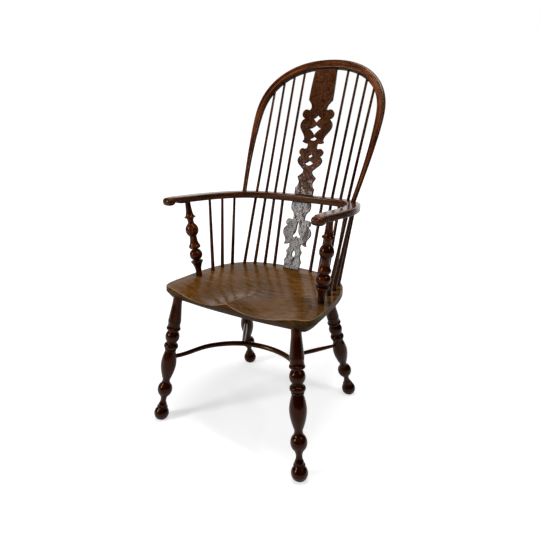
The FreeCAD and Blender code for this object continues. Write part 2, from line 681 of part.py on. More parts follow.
def make_upper_splat():
    """Upper fretted board, plain at its head, with two pierced pairs of lobes below."""
    _, _, over, hoop = splat_ends()
    length = over.distanceToPoint(hoop)
    w = UPPER_SPLAT_HALF_WIDTH
    t = UPPER_SPLAT_TOP_HALF_WIDTH
    outline = [
        [(w, 0), (w + 0.6, 12), (w + 1.5, 21)],
        [(w + 1.5, 21), (w - 6, 30), (w - 8.4, 40), (w - 4.4, 50), (w, 60)],
        [(w, 60), (w - 8, 67), (w - 14, 73), (w - 17.4, 80), (w - 13, 87)],
        [(w - 13, 87), (w - 2, 97), (w + 8.4, 108), (w + 12, 119), (w + 8, 129), (w + 1, 134.6)],
        [(w + 1, 134.6), (w + 9.4, 142), (w + 10.4, 152), (w + 3, 159.6), (w - 6, 159)],
        [(w - 6, 159), (w - 14, 161), (w - 16.6, 170), (w - 15.6, 179)],
        [(w - 15.6, 179), (w - 4, 178.6), (w + 7.4, 184)],
        [(w + 7.4, 184), (w + 2.4, 192), (w + 4.6, 203), (w + 13, 216), (w + 22.4, 230), (w + 25.6, 245),
         (w + 20.6, 258), (w + 11, 266)],
        [(w + 11, 266), (w + 21.6, 272), (w + 25, 283), (w + 20.6, 294), (w + 11, 298), (w + 2, 295)],
        [(w + 2, 295), (w - 4, 300), (w - 4, 312), (w + 2, 322), (w + 10.6, 332)],
        [(w + 10.6, 332), (w + 10.6, 342), (t, length)],
    ]
    diamond = [[(0, 249.6), (4.4, 257), (15, 266.5)], [(15, 266.5), (5.4, 273), (0, 281.8)]]
    kite = [[(0, 206.4), (7.4, 217), (23.6, 231)], [(23.6, 231), (8.6, 237), (0, 245.6)]]
    moon = [[(0, 188), (8, 189.6), (13.4, 195.6)], [(13.4, 195.6), (6, 198), (0, 204.4)]]
    lozenge = [[(0, 125), (3.6, 129.6), (9, 134.4)], [(9, 134.4), (3.6, 137.6), (0, 141.6)]]
    heart = [[(0, 100), (8, 102.6), (16.4, 109.6)], [(16.4, 109.6), (6.8, 113), (0, 121)]]
    board = leaned(fret(outline, [diamond, kite, moon, lozenge, heart]), over, hoop)
    low = tongue(over, hoop, -SPLAT_TONGUE, SPLAT_TONGUE + 0.5, w)
    high = tongue(over, hoop, length - 0.5, SPLAT_TONGUE + 0.5, t)
    return board.fuse([low, high]).removeSplitter()


def splat_mortises():
    """Mortises for the four tongues: in the seat, under and over the arm bow, and in the hoop."""
    seat, under, over, hoop = splat_ends()
    lower = seat.distanceToPoint(under)
    upper = over.distanceToPoint(hoop)
    deep = SPLAT_TONGUE + END_GAP
    w = SPLAT_HALF_WIDTH
    return {
        "seat": tongue(seat, under, -deep, deep + 10, w - 5, FIT),
        "bow_under": tongue(seat, under, lower - 6, deep + 6, w - 3.2, FIT),
        "bow_over": tongue(over, hoop, -deep, deep + 8, UPPER_SPLAT_HALF_WIDTH, FIT),
        "hoop": tongue(over, hoop, upper - 6, deep + 6, UPPER_SPLAT_TOP_HALF_WIDTH, FIT),
    }


def build_chair():
    """All pieces by name, with their sockets cut."""
    nodes = {}
    seat_cuts = []
    bow_cuts = []
    hoop_cuts = []
    mortises = splat_mortises()
    stretcher_tool = make_stretcher_bow(FIT)
    spur_tools = {name: make_spur(side, FIT) for name, side in SIDES.items()}
    for name, side in SIDES.items():
        leg, socket = make_leg(FRONT_LEG_TOP, FRONT_LEG_FOOT, side)
        nodes["front_leg_" + name] = leg.cut(stretcher_tool)
        seat_cuts.append(socket)
        leg, socket = make_leg(BACK_LEG_TOP, BACK_LEG_FOOT, side)
        nodes["back_leg_" + name] = leg.cut(spur_tools[name])
        seat_cuts.append(socket)
        post, low, high = make_post(side)
        nodes["arm_post_" + name] = post
        seat_cuts.append(low)
        bow_cuts.append(high)
        nodes["stretcher_spur_" + name] = make_spur(side)
        for place in SIDE_SPINDLE_PLACES:
            nodes["side_spindle_" + name + "_" + place] = make_side_spindle(side, place)
            tool = make_side_spindle(side, place, FIT)
            seat_cuts.append(tool)
            bow_cuts.append(tool)
        for number, places in enumerate(BACK_SPINDLE_PLACES, 1):
            nodes["back_spindle_" + name + "_" + str(number)] = make_back_spindle(side, places)
            tool = make_back_spindle(side, places, FIT)
            seat_cuts.append(tool)
            bow_cuts.append(tool)
            hoop_cuts.append(tool)
    nodes["stretcher_bow"] = make_stretcher_bow().cut(list(spur_tools.values()))
    nodes["lower_splat"] = make_lower_splat()
    nodes["upper_splat"] = make_upper_splat()
    seat_cuts.append(mortises["seat"])
    bow_cuts += [mortises["bow_under"], mortises["bow_over"]]
    bow_cuts += [hoop_socket(side) for side in SIDES.values()]
    hoop_cuts.append(mortises["hoop"])
    nodes["seat"] = make_seat_blank().cut(seat_cuts)
    nodes["arm_bow"] = make_bow_blank().cut(bow_cuts)
    nodes["back_hoop"] = make_hoop_blank().cut(hoop_cuts)
    return nodes


def centred(nodes):
    """The pieces moved so that the whole chair's box stands centred on the origin."""
    outermost = [nodes["front_leg_left"], nodes["back_hoop"]]
    points = [point for shape in outermost for point in shape.tessellate(0.2)[0]]
    middle = (min(point.y for point in points) + max(point.y for point in points)) / 2
    for shape in nodes.values():
        shape.translate(Vector(0, -middle, 0))
    print("moved back by", round(-middle, 3))
    return nodes


def main():
    os.makedirs("parts", exist_ok=True)
    for name, shape in centred(build_chair()).items():
        print(name, shape.isValid(), len(shape.Solids), round(shape.Volume))
        shape.exportStep("parts/" + name + ".step")


main()
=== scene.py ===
"""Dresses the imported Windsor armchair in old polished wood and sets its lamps, floor and camera."""

import json
import logging
import math
from dataclasses import dataclass
from enum import Enum
from typing import Any, ClassVar, Iterable, Sequence

import bmesh
import bpy
import numpy as np
from mathutils import Matrix, Vector

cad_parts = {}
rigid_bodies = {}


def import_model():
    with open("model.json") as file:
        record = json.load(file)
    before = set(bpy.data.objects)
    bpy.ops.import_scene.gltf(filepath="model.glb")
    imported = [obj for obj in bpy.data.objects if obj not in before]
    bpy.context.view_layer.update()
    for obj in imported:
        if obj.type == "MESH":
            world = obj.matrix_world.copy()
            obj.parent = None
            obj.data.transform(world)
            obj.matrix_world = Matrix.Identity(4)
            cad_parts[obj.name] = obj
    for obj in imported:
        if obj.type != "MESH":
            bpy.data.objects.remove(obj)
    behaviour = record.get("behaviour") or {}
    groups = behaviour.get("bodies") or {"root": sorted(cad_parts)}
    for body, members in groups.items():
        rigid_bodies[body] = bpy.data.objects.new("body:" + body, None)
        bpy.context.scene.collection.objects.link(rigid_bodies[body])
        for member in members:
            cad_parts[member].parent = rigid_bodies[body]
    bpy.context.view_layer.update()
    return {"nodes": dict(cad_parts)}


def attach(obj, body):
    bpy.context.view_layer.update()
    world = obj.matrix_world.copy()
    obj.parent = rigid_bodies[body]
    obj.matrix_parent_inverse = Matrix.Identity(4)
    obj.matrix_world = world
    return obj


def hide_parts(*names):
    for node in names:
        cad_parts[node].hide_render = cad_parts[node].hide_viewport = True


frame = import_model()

SHARP_ANGLE = math.radians(38)
MM = 0.001

# The pieces are worked out in millimetres, with Y measured back from the tops of the front legs.
SETBACK = 260.281
SEAT_TOP = 442.0
SEAT_BOTTOM = 402.0
SEAT_SOCKET = 12.0
BOW_SOCKET = 8.0

# A turned outline has this many stations on a line, on an arc, and for each point of a smooth curve.
LINE_STATIONS = 4
ARC_STATIONS = 11
CURVE_STATIONS = 5

Array = np.ndarray
Color = tuple[float, float, float]
Socket = bpy.types.NodeSocket
Runs = Sequence[Sequence[tuple[float, float]]]

log = logging.getLogger("windsor_armchair")


class Place(Enum):
    """Part of the chair that twin pieces are named after."""

    @property
    def tag(self) -> str:
        """Word for the place in the names of pieces."""
        return self.name.lower()


class Side(Place):
    """Half of the chair, by the sign of X."""

    LEFT = -1
    RIGHT = 1


class Row(Place):
    """Pair of legs, counted from the front."""

    FRONT = 0
    BACK = 1


def unit(vectors: Array) -> Array:
    """Vectors, or one vector, at length one."""
    return vectors / np.linalg.norm(vectors, axis=-1, keepdims=True)


def smoothstep(share: Array) -> Array:
    """Eased share, held between 0 and 1."""
    held = np.clip(share, 0.0, 1.0)
    return held * held * (3 - 2 * held)


def travelled(line: Array) -> Array:
    """Distance along a line of points up to each of them."""
    return np.concatenate([[0.0], np.cumsum(np.linalg.norm(np.diff(line, axis=0), axis=1))])


def spline(points: Sequence[Sequence[float]], count: int, closed: bool = False) -> Array:
    """Smooth curve through points.

    Args:
        points: Places that the curve passes through, in order.
        count: Number of samples, evenly spread along the chords.
        closed: Whether the curve runs on to its first point.

    Returns:
        The samples, one a row.
    """
    knots = np.asarray(points, float)
    if closed:
        knots = np.vstack([knots, knots[:1]])
    gaps = np.linalg.norm(np.diff(knots, axis=0), axis=1)
    slopes = np.diff(knots, axis=0) / gaps[:, None]
    last = len(knots) - 1
    system = np.eye(last + 1)
    target = np.zeros_like(knots)
    for row in range(1, last):
        system[row, row - 1:row + 2] = gaps[row - 1], 2 * (gaps[row - 1] + gaps[row]), gaps[row]
        target[row] = 6 * (slopes[row] - slopes[row - 1])
    if closed:
        system[0, last] = -1.0
        system[last, [last - 1, 1]] = gaps[-1], gaps[0]
        system[last, last] = 2 * (gaps[-1] + gaps[0])
        target[last] = 6 * (slopes[0] - slopes[-1])
    bends = np.linalg.solve(system, target)
    starts = np.concatenate([[0.0], np.cumsum(gaps)])
    at = np.linspace(0.0, starts[-1], count, endpoint=not closed)
    span = np.clip(np.searchsorted(starts, at, side="right") - 1, 0, last - 1)
    gap = gaps[span][:, None]
    after = at[:, None] - starts[span][:, None]
    before = gap - after
    curved = (bends[span] * before ** 3 + bends[span + 1] * after ** 3) / (6 * gap)
    straight = (knots[span] / gap - bends[span] * gap / 6) * before
    return curved + straight + (knots[span + 1] / gap - bends[span + 1] * gap / 6) * after


def arc(points: Sequence[tuple[float, float]], count: int) -> Array:
    """Samples along the circle through three flat points, or along their line if they lie on one.

    Args:
        points: First, middle and last point.
        count: Number of samples.

    Returns:
        The samples, one a row.
    """
    (ax, ay), (bx, by), (cx, cy) = points
    double = 2 * (ax * (by - cy) + bx * (cy - ay) + cx * (ay - by))
    if abs(double) < 1e-6:
        return np.linspace(points[0], points[2], count)
    squares = [ax * ax + ay * ay, bx * bx + by * by, cx * cx + cy * cy]
    x = (squares[0] * (by - cy) + squares[1] * (cy - ay) + squares[2] * (ay - by)) / double
    y = (squares[0] * (cx - bx) + squares[1] * (ax - cx) + squares[2] * (bx - ax)) / double
    turns = np.unwrap([math.atan2(py - y, px - x) for px, py in points])
    angles = np.linspace(turns[0], turns[2], count)
    radius = math.hypot(ax - x, ay - y)
    return np.stack([x + radius * np.cos(angles), y + radius * np.sin(angles)], axis=1)


def turned_outline(runs: Runs, start: float = 0.0) -> Array:
    """Stations of a turned outline.

    Args:
        runs: Runs of (height, diameter) pairs: a line for two, an arc for three, a smooth curve for more.
        start: Height from which the runs are measured.

    Returns:
        (height, diameter) rows from the bottom to the top.
    """
    rows = []
    for run in runs:
        placed = [(start + height, diameter) for height, diameter in run]
        if len(placed) == 2:
            rows.append(np.linspace(*placed, LINE_STATIONS))
        elif len(placed) == 3:
            halves = [(height, diameter / 2) for height, diameter in placed]
            rows.append(arc(halves, ARC_STATIONS) * (1, 2))
        else:
            rows.append(spline(placed, CURVE_STATIONS * len(placed)))
    return np.vstack(rows)


def linked(name: str, data: bpy.types.ID) -> bpy.types.Object:
    """Makes an object and links it to the scene.

    Args:
        name: Name of the object.
        data: Mesh, lamp or camera that it shows.

    Returns:
        The new object.
    """
    made = bpy.data.objects.new(name, data)
    bpy.context.scene.collection.objects.link(made)
    return made


def store(mesh: bpy.types.Mesh, name: str, values: Array) -> None:
    """Gives a mesh an attribute on its points.

    Args:
        mesh: Mesh that takes the attribute.
        name: Name of the attribute.
        values: A number a point, or a row of three for vectors.
    """
    kind, key = ("FLOAT_VECTOR", "vector") if values.ndim == 2 else ("FLOAT", "value")
    layer = mesh.attributes.new(name, kind, "POINT")
    layer.data.foreach_set(key, np.ravel(values).astype(np.float32))


class Graph:
    """A node tree with short methods that add its nodes and join them."""

    def __init__(self, tree: bpy.types.NodeTree) -> None:
        """Starts with an empty tree."""
        self.tree = tree
        tree.nodes.clear()

    def add(self, kind: str, inputs: dict[int | str, Any] | None = None, **settings: Any) -> bpy.types.Node:
        """Adds one node.

        Args:
            kind: Blender's name for the type of node.
            inputs: Values or sockets to join, by the number or name of the node's own socket.
            settings: Properties of the node, set before its sockets are.

        Returns:
            The new node.
        """
        node = self.tree.nodes.new(kind)
        for key, value in settings.items():
            setattr(node, key, value)
        for key, value in (inputs or {}).items():
            if isinstance(key, str):
                socket = next(each for each in node.inputs if each.name == key and each.enabled)
            else:
                socket = node.inputs[key]
            if isinstance(value, Socket):
                self.tree.links.new(value, socket)
            else:
                socket.default_value = value
        return node

    def math(self, operation: str, *values: Any) -> Socket:
        """Result of one sum on numbers."""
        return self.add("ShaderNodeMath", dict(enumerate(values)), operation=operation).outputs[0]

    def vector(self, operation: str, *values: Any) -> Socket:
        """Result of one sum on vectors."""
        return self.add("ShaderNodeVectorMath", dict(enumerate(values)), operation=operation).outputs[0]

    def scaled(self, vector: Any, factor: Any) -> Socket:
        """A vector times a number."""
        return self.add("ShaderNodeVectorMath", {0: vector, "Scale": factor}, operation="SCALE").outputs[0]

    def drawn_out(self, vector: Any, share: float) -> Socket:
        """Vector shortened along the grain, which draws out a pattern made from it."""
        return self.vector("MULTIPLY", vector, (1.0, 1.0, share))

    def swayed(self, base: Any, part: Any, weight: float, middle: float = 0.5) -> Socket:
        """Base plus a weighted distance of a part from its middle."""
        return self.math("MULTIPLY_ADD", self.math("SUBTRACT", part, middle), weight, base)

    def ramp(self, factor: Any, *stops: tuple[float, Sequence[float] | float]) -> Socket:
        """Colour ramp.

        Args:
            factor: Socket that picks the place on the ramp.
            stops: Places with a grey level or a colour each.

        Returns:
            The ramp's colour.
        """
        node = self.add("ShaderNodeValToRGB", {0: factor})
        elements = node.color_ramp.elements
        while len(elements) < len(stops):
            elements.new(0.5)
        for element, (place, shade) in zip(elements, stops):
            element.position = place
            tint = (shade, shade, shade) if isinstance(shade, (int, float)) else tuple(shade)
            element.color = (*tint, 1.0)
        return node.outputs[0]

    def noise(self, vector: Any, scale: float, detail: float = 3.0, **inputs: float) -> bpy.types.Node:
        """Noise texture; further inputs go by the names of its sockets."""
        named = {key.capitalize(): value for key, value in inputs.items()}
        return self.add("ShaderNodeTexNoise", {"Vector": vector, "Scale": scale, "Detail": detail, **named})

    def blend(self, factor: Any, first: Any, second: Any, mode: str = "MIX") -> Socket:
        """Joins two colours.

        Args:
            factor: Share of the second colour.
            first: Colour or socket.
            second: Colour or socket.
            mode: Way in which the second is laid over the first.

        Returns:
            The joined colour.
        """
        node = self.add("ShaderNodeMix", data_type="RGBA", blend_type=mode)
        for index, value in ((0, factor), (6, first), (7, second)):
            if isinstance(value, Socket):
                self.tree.links.new(value, node.inputs[index])
            else:
                node.inputs[index].default_value = value if index == 0 else (*value, 1.0)
        return node.outputs[2]


def new_material(name: str) -> tuple[bpy.types.Material, Graph]:
    """Makes a material with an empty tree.

    Args:
        name: Name of the material.

    Returns:
        The material and the graph that fills its tree.
    """
    made = bpy.data.materials.new(name)
    made.use_nodes = True
    return made, Graph(made.node_tree)


@dataclass(frozen=True)
class WoodFinish:
    """Old polished wood whose grain runs along the third axis of a piece's "wood" attribute, in metres.

    Attributes:
        SCALES: Fineness of each pattern, in waves a metre.
        WAVE_LENGTH: Distance between rings at a scale of 1, in metres.
        WARP: How far the grain wanders, in metres.
        HEARTWOOD: Shift from the middle of the log.
        SHELTER: Reach of the ambient occlusion that darkens hollows with soiling and painted shade, in
            metres.
        name: Name of the material.
        dark: Colour of its darkest grain.
        middle: Colour between the two.
        light: Colour of its lightest grain and of edges that hands rubbed.
        ring_gap: Distance between the growth rings, in metres.
        rings: Strength of the growth rings.
        streaks: Strength of the streaks along the grain.
        mottle: Strength of the burr.
        ripple: Height of the ripple that hand tools left, in metres.
        roughness: Roughness of the polished surface.
        specular: Strength of the polished surface's reflections.
        grime: Share of soiling and painted shade in the deepest hollows.
        worn: Share of the lightest colour on edges.
        flank: Share of its gloss that an upright face keeps, and of its colour, which paints shade there.
        underside: Share of both that a face turned down keeps.
        sheen: Tint of the reflections.
        bare: Colour where the gloss has worn through, which also paints a highlight along a seat's rim.
    """

    SCALES: ClassVar[dict[str, float]] = {
        "patina": 6.5,
        "warp": 14.0,
        "burr": 42.0,
        "ripple": 55.0,
        "streaks": 230.0,
        "pores": 760.0,
        "fibre": 1500.0,
    }
    WAVE_LENGTH: ClassVar[float] = 0.314
    WARP: ClassVar[float] = 0.012
    HEARTWOOD: ClassVar[Color] = (0.031, 0.017, 0.0)
    SHELTER: ClassVar[float] = 0.018

    name: str
    dark: Color
    middle: Color
    light: Color
    ring_gap: float = 0.0024
    rings: float = 0.35
    streaks: float = 0.75
    mottle: float = 0.25
    ripple: float = 0.0004
    roughness: float = 0.26
    specular: float = 0.35
    grime: float = 0.8
    worn: float = 0.35
    flank: float = 0.8
    underside: float = 0.3
    sheen: Color = (1.0, 0.56, 0.32)
    bare: Color = (0.36, 0.25, 0.155)

    def material(self) -> bpy.types.Material:
        """Builds the node material.

        Returns:
            The material.
        """
        made, graph = new_material(self.name)
        wood = graph.add("ShaderNodeAttribute", attribute_name="wood").outputs["Vector"]
        place = graph.add("ShaderNodeTexCoord").outputs["Object"]
        tone, fibre, pores = self._grain(graph, wood)
        patina = graph.noise(place, self.SCALES["patina"], 4.0).outputs["Fac"]
        color = graph.ramp(tone, (0.2, self.dark), (0.5, self.middle), (0.85, self.light))
        color = graph.blend(1.0, color, graph.ramp(patina, (0.3, 0.66), (0.7, 1.3)), "MULTIPLY")
        color, dirt_and_shade, polish_and_shade = self._age(graph, color)
        shader = graph.add("ShaderNodeBsdfPrincipled", {
            "Base Color": color,
            "Roughness": self._roughness(graph, patina, pores, dirt_and_shade, polish_and_shade),
            "Specular IOR Level": self.specular,
            "Specular Tint": (*self.sheen, 1.0),
            "Normal": self._relief(graph, wood, fibre, pores),
        })
        graph.add("ShaderNodeOutputMaterial", {"Surface": shader.outputs[0]})
        return made

    def _grain(self, graph: Graph, wood: Socket) -> tuple[Socket, Socket, Socket]:
        """Adds the figure of the wood.

        Args:
            graph: Tree of the material.
            wood: Place in the log.

        Returns:
            Sockets of the tone, the fibres and the open pores.
        """
        scales = self.SCALES
        warp = graph.noise(graph.drawn_out(wood, 0.25), scales["warp"], 2.0).outputs["Color"]
        shift = graph.scaled(graph.vector("SUBTRACT", warp, (0.5, 0.5, 0.5)), self.WARP)
        bent = graph.vector("ADD", wood, shift)
        rings = graph.add("ShaderNodeTexWave", {
            "Vector": graph.vector("ADD", graph.drawn_out(bent, 0.03), self.HEARTWOOD),
            "Scale": self.WAVE_LENGTH / self.ring_gap,
            "Distortion": 1.2,
            "Detail": 2.0,
            "Detail Scale": 0.4,
        }, wave_type="RINGS", rings_direction="Z", wave_profile="SAW").outputs["Fac"]
        rings = graph.ramp(rings, (0.0, 0.75), (0.7, 0.45), (0.93, 0.0), (1.0, 0.75))
        streaks = graph.noise(graph.drawn_out(bent, 0.035), scales["streaks"], 5.0, roughness=0.62)
        fibre = graph.noise(graph.drawn_out(wood, 0.02), scales["fibre"], 2.0).outputs["Fac"]
        pores = graph.noise(graph.drawn_out(wood, 0.05), scales["pores"], 2.0).outputs["Fac"]
        pores = graph.ramp(pores, (0.6, 0.0), (0.68, 1.0))
        burr = graph.noise(wood, scales["burr"], 6.0, roughness=0.62, distortion=1.8).outputs["Fac"]
        tone = graph.swayed(0.5, rings, self.rings, 0.4)
        parts = ((streaks.outputs["Fac"], self.streaks), (burr, self.mottle), (fibre, 0.3))
        for part, weight in parts:
            tone = graph.swayed(tone, part, weight)
        return graph.math("MULTIPLY_ADD", pores, -0.22, tone), fibre, pores

    def _age(self, graph: Graph, color: Socket) -> tuple[Socket, Socket, Socket]:
        """Rubs the edges, pales a seat's rim with wear and a painted highlight, paints shade on faces turned
        aside or down, and darkens hollows with soiling and painted shade.

        Args:
            graph: Tree of the material.
            color: Colour of the clean wood.

        Returns:
            Sockets of the aged and shaded colour, of the mask for soiling and painted shade in hollows, and
            of the gloss that is left, whose mask also paints shade.
        """
        # Ambient occlusion darkens hollows and creases towards the dark grain: partly soiling, partly painted
        # shade.
        shelter = graph.add("ShaderNodeAmbientOcclusion", {"Distance": self.SHELTER}, samples=8).outputs["AO"]
        dirt_and_shade = graph.ramp(shelter, (0.35, self.grime), (0.92, 0.0))
        point = graph.add("ShaderNodeNewGeometry").outputs["Pointiness"]
        rubbed = graph.ramp(point, (0.515, 0.0), (0.6, self.worn))
        color = graph.blend(rubbed, color, self.light)
        # Pale band along a seat's rim: worn wood, and a painted highlight on its rounded edge.
        arris = graph.add("ShaderNodeAttribute", attribute_name="arris").outputs["Fac"]
        color = graph.blend(arris, color, self.bare)
        # Faces turned aside or down are darkened by their facing alone: painted shade. The same mask leaves
        # them less gloss.
        normal = graph.add("ShaderNodeTexCoord").outputs["Normal"]
        upward = graph.add("ShaderNodeSeparateXYZ", {0: normal}).outputs[2]
        lift = graph.math("MULTIPLY_ADD", upward, 0.5, 0.5)
        polish_and_shade = graph.ramp(lift, (0.25, self.underside), (0.5, self.flank), (0.62, 1.0))
        color = graph.blend(1.0, color, polish_and_shade, "MULTIPLY")
        return graph.blend(dirt_and_shade, color, tuple(0.12 * level for level in self.dark)), dirt_and_shade, polish_and_shade

    def _roughness(self, graph: Graph, patina: Socket, pores: Socket, dirt_and_shade: Socket, polish_and_shade: Socket) -> Socket:
        """Makes the gloss vary with handling, open pores, soiled hollows and how much gloss a face keeps.

        Args:
            graph: Tree of the material.
            patina: Wide cloud of handling.
            pores: Share of open pores.
            dirt_and_shade: Share of soiling in hollows, from the mask that also paints shade there.
            polish_and_shade: Share of gloss that is left, from the mask that also paints shade on faces
                turned aside or down.

        Returns:
            Socket of the roughness.
        """
        handled = graph.swayed(self.roughness, patina, 0.28)
        open_grain = graph.math("MULTIPLY_ADD", pores, 0.18, handled)
        soiled = graph.math("MULTIPLY_ADD", dirt_and_shade, 0.25, open_grain)
        return graph.math("MULTIPLY_ADD", graph.math("SUBTRACT", 1.0, polish_and_shade), 0.6, soiled)

    def _relief(self, graph: Graph, wood: Socket, fibre: Socket, pores: Socket) -> Socket:
        """Lays fibres and pores over the soft ripple of hand work.

        Args:
            graph: Tree of the material.
            wood: Place in the log.
            fibre: Height of the fibres.
            pores: Share of open pores.

        Returns:
            Socket of the normal.
        """
        ripple = graph.noise(graph.drawn_out(wood, 0.45), self.SCALES["ripple"], 3.0).outputs["Fac"]
        soft = graph.add("ShaderNodeBump", {"Strength": 0.5, "Distance": self.ripple * 4, "Height": ripple})
        height = graph.math("MULTIPLY_ADD", pores, -1.0, fibre)
        fine = {"Strength": 0.22, "Distance": 0.0002, "Height": height, "Normal": soft.outputs[0]}
        return graph.add("ShaderNodeBump", fine).outputs[0]


TURNED = WoodFinish(
    "turned_wood", (0.0015, 0.0003, 0.0001), (0.008, 0.0009, 0.0001), (0.048, 0.0075, 0.0008),
    specular=0.2, roughness=0.12, ripple=0.00015, flank=0.84, sheen=(1.0, 0.48, 0.3))
POSTS = WoodFinish(
    "post_wood", (0.002, 0.0004, 0.0002), (0.02, 0.0036, 0.0007), (0.17, 0.036, 0.0065),
    streaks=0.9, specular=0.22, roughness=0.14, ripple=0.00015, flank=0.88, sheen=(1.0, 0.46, 0.25))
BENT = WoodFinish(
    "bent_wood", (0.006, 0.0012, 0.0004), (0.037, 0.009, 0.0026), (0.22, 0.064, 0.017),
    streaks=1.15, specular=0.2, roughness=0.17, ripple=0.0003, sheen=(1.0, 0.8, 0.62))
STICKS = WoodFinish(
    "spindle_wood", (0.002, 0.0004, 0.0002), (0.011, 0.0024, 0.0009), (0.125, 0.031, 0.009),
    streaks=1.1, specular=0.2, roughness=0.18, ripple=0.0003, sheen=(1.0, 0.62, 0.48))
PLANK = WoodFinish(
    "seat_wood", (0.02, 0.0072, 0.0012), (0.084, 0.033, 0.0052), (0.2, 0.09, 0.022),
    ring_gap=0.0045, rings=0.45, streaks=1.1, mottle=0.2, specular=0.07, roughness=0.16, grime=0.9,
    flank=0.45, sheen=(1.0, 0.76, 0.54))
SAWN = WoodFinish(
    "splat_wood", (0.009, 0.0025, 0.0009), (0.041, 0.0128, 0.0044), (0.13, 0.044, 0.0155),
    mottle=0.9, rings=0.12, specular=0.26, roughness=0.17, ripple=0.0014, sheen=(0.92, 0.98, 1.0))


@dataclass
class Stick:
    """Stations along one member, in millimetres, each with a rounded section square to it.

    Attributes:
        centre: Middle of the section, one row a station.
        across: Direction of the section's width.
        over: Direction of its depth, towards the front of a hoop or up from a rail.
        width: Size along the first.
        depth: Size along the second.
        squareness: Power of the section's outline: 2 is round, more is squarer.
        hollow: Depth of the hollow along the front.
    """

    centre: Array
    across: Array
    over: Array
    width: Array
    depth: Array
    squareness: Array | float = 2.0
    hollow: Array | float = 0.0

    def fields(self, number: int) -> dict[str, Array]:
        """Lays out the stations for the tree that skins them.

        Args:
            number: Number of the stick in its piece.

        Returns:
            Values by the names that the tree reads, in metres.
        """
        count = len(self.centre)
        table = {
            "centre": self.centre * MM,
            "across": np.broadcast_to(self.across, (count, 3)),
            "over": np.broadcast_to(self.over, (count, 3)),
            "squareness": np.broadcast_to(self.squareness, count),
            "run": travelled(self.centre) * MM,
            "number": np.full(count, float(number)),
        }
        for name in ("width", "depth", "hollow"):
            table[name] = np.broadcast_to(getattr(self, name), count) * MM
        return table


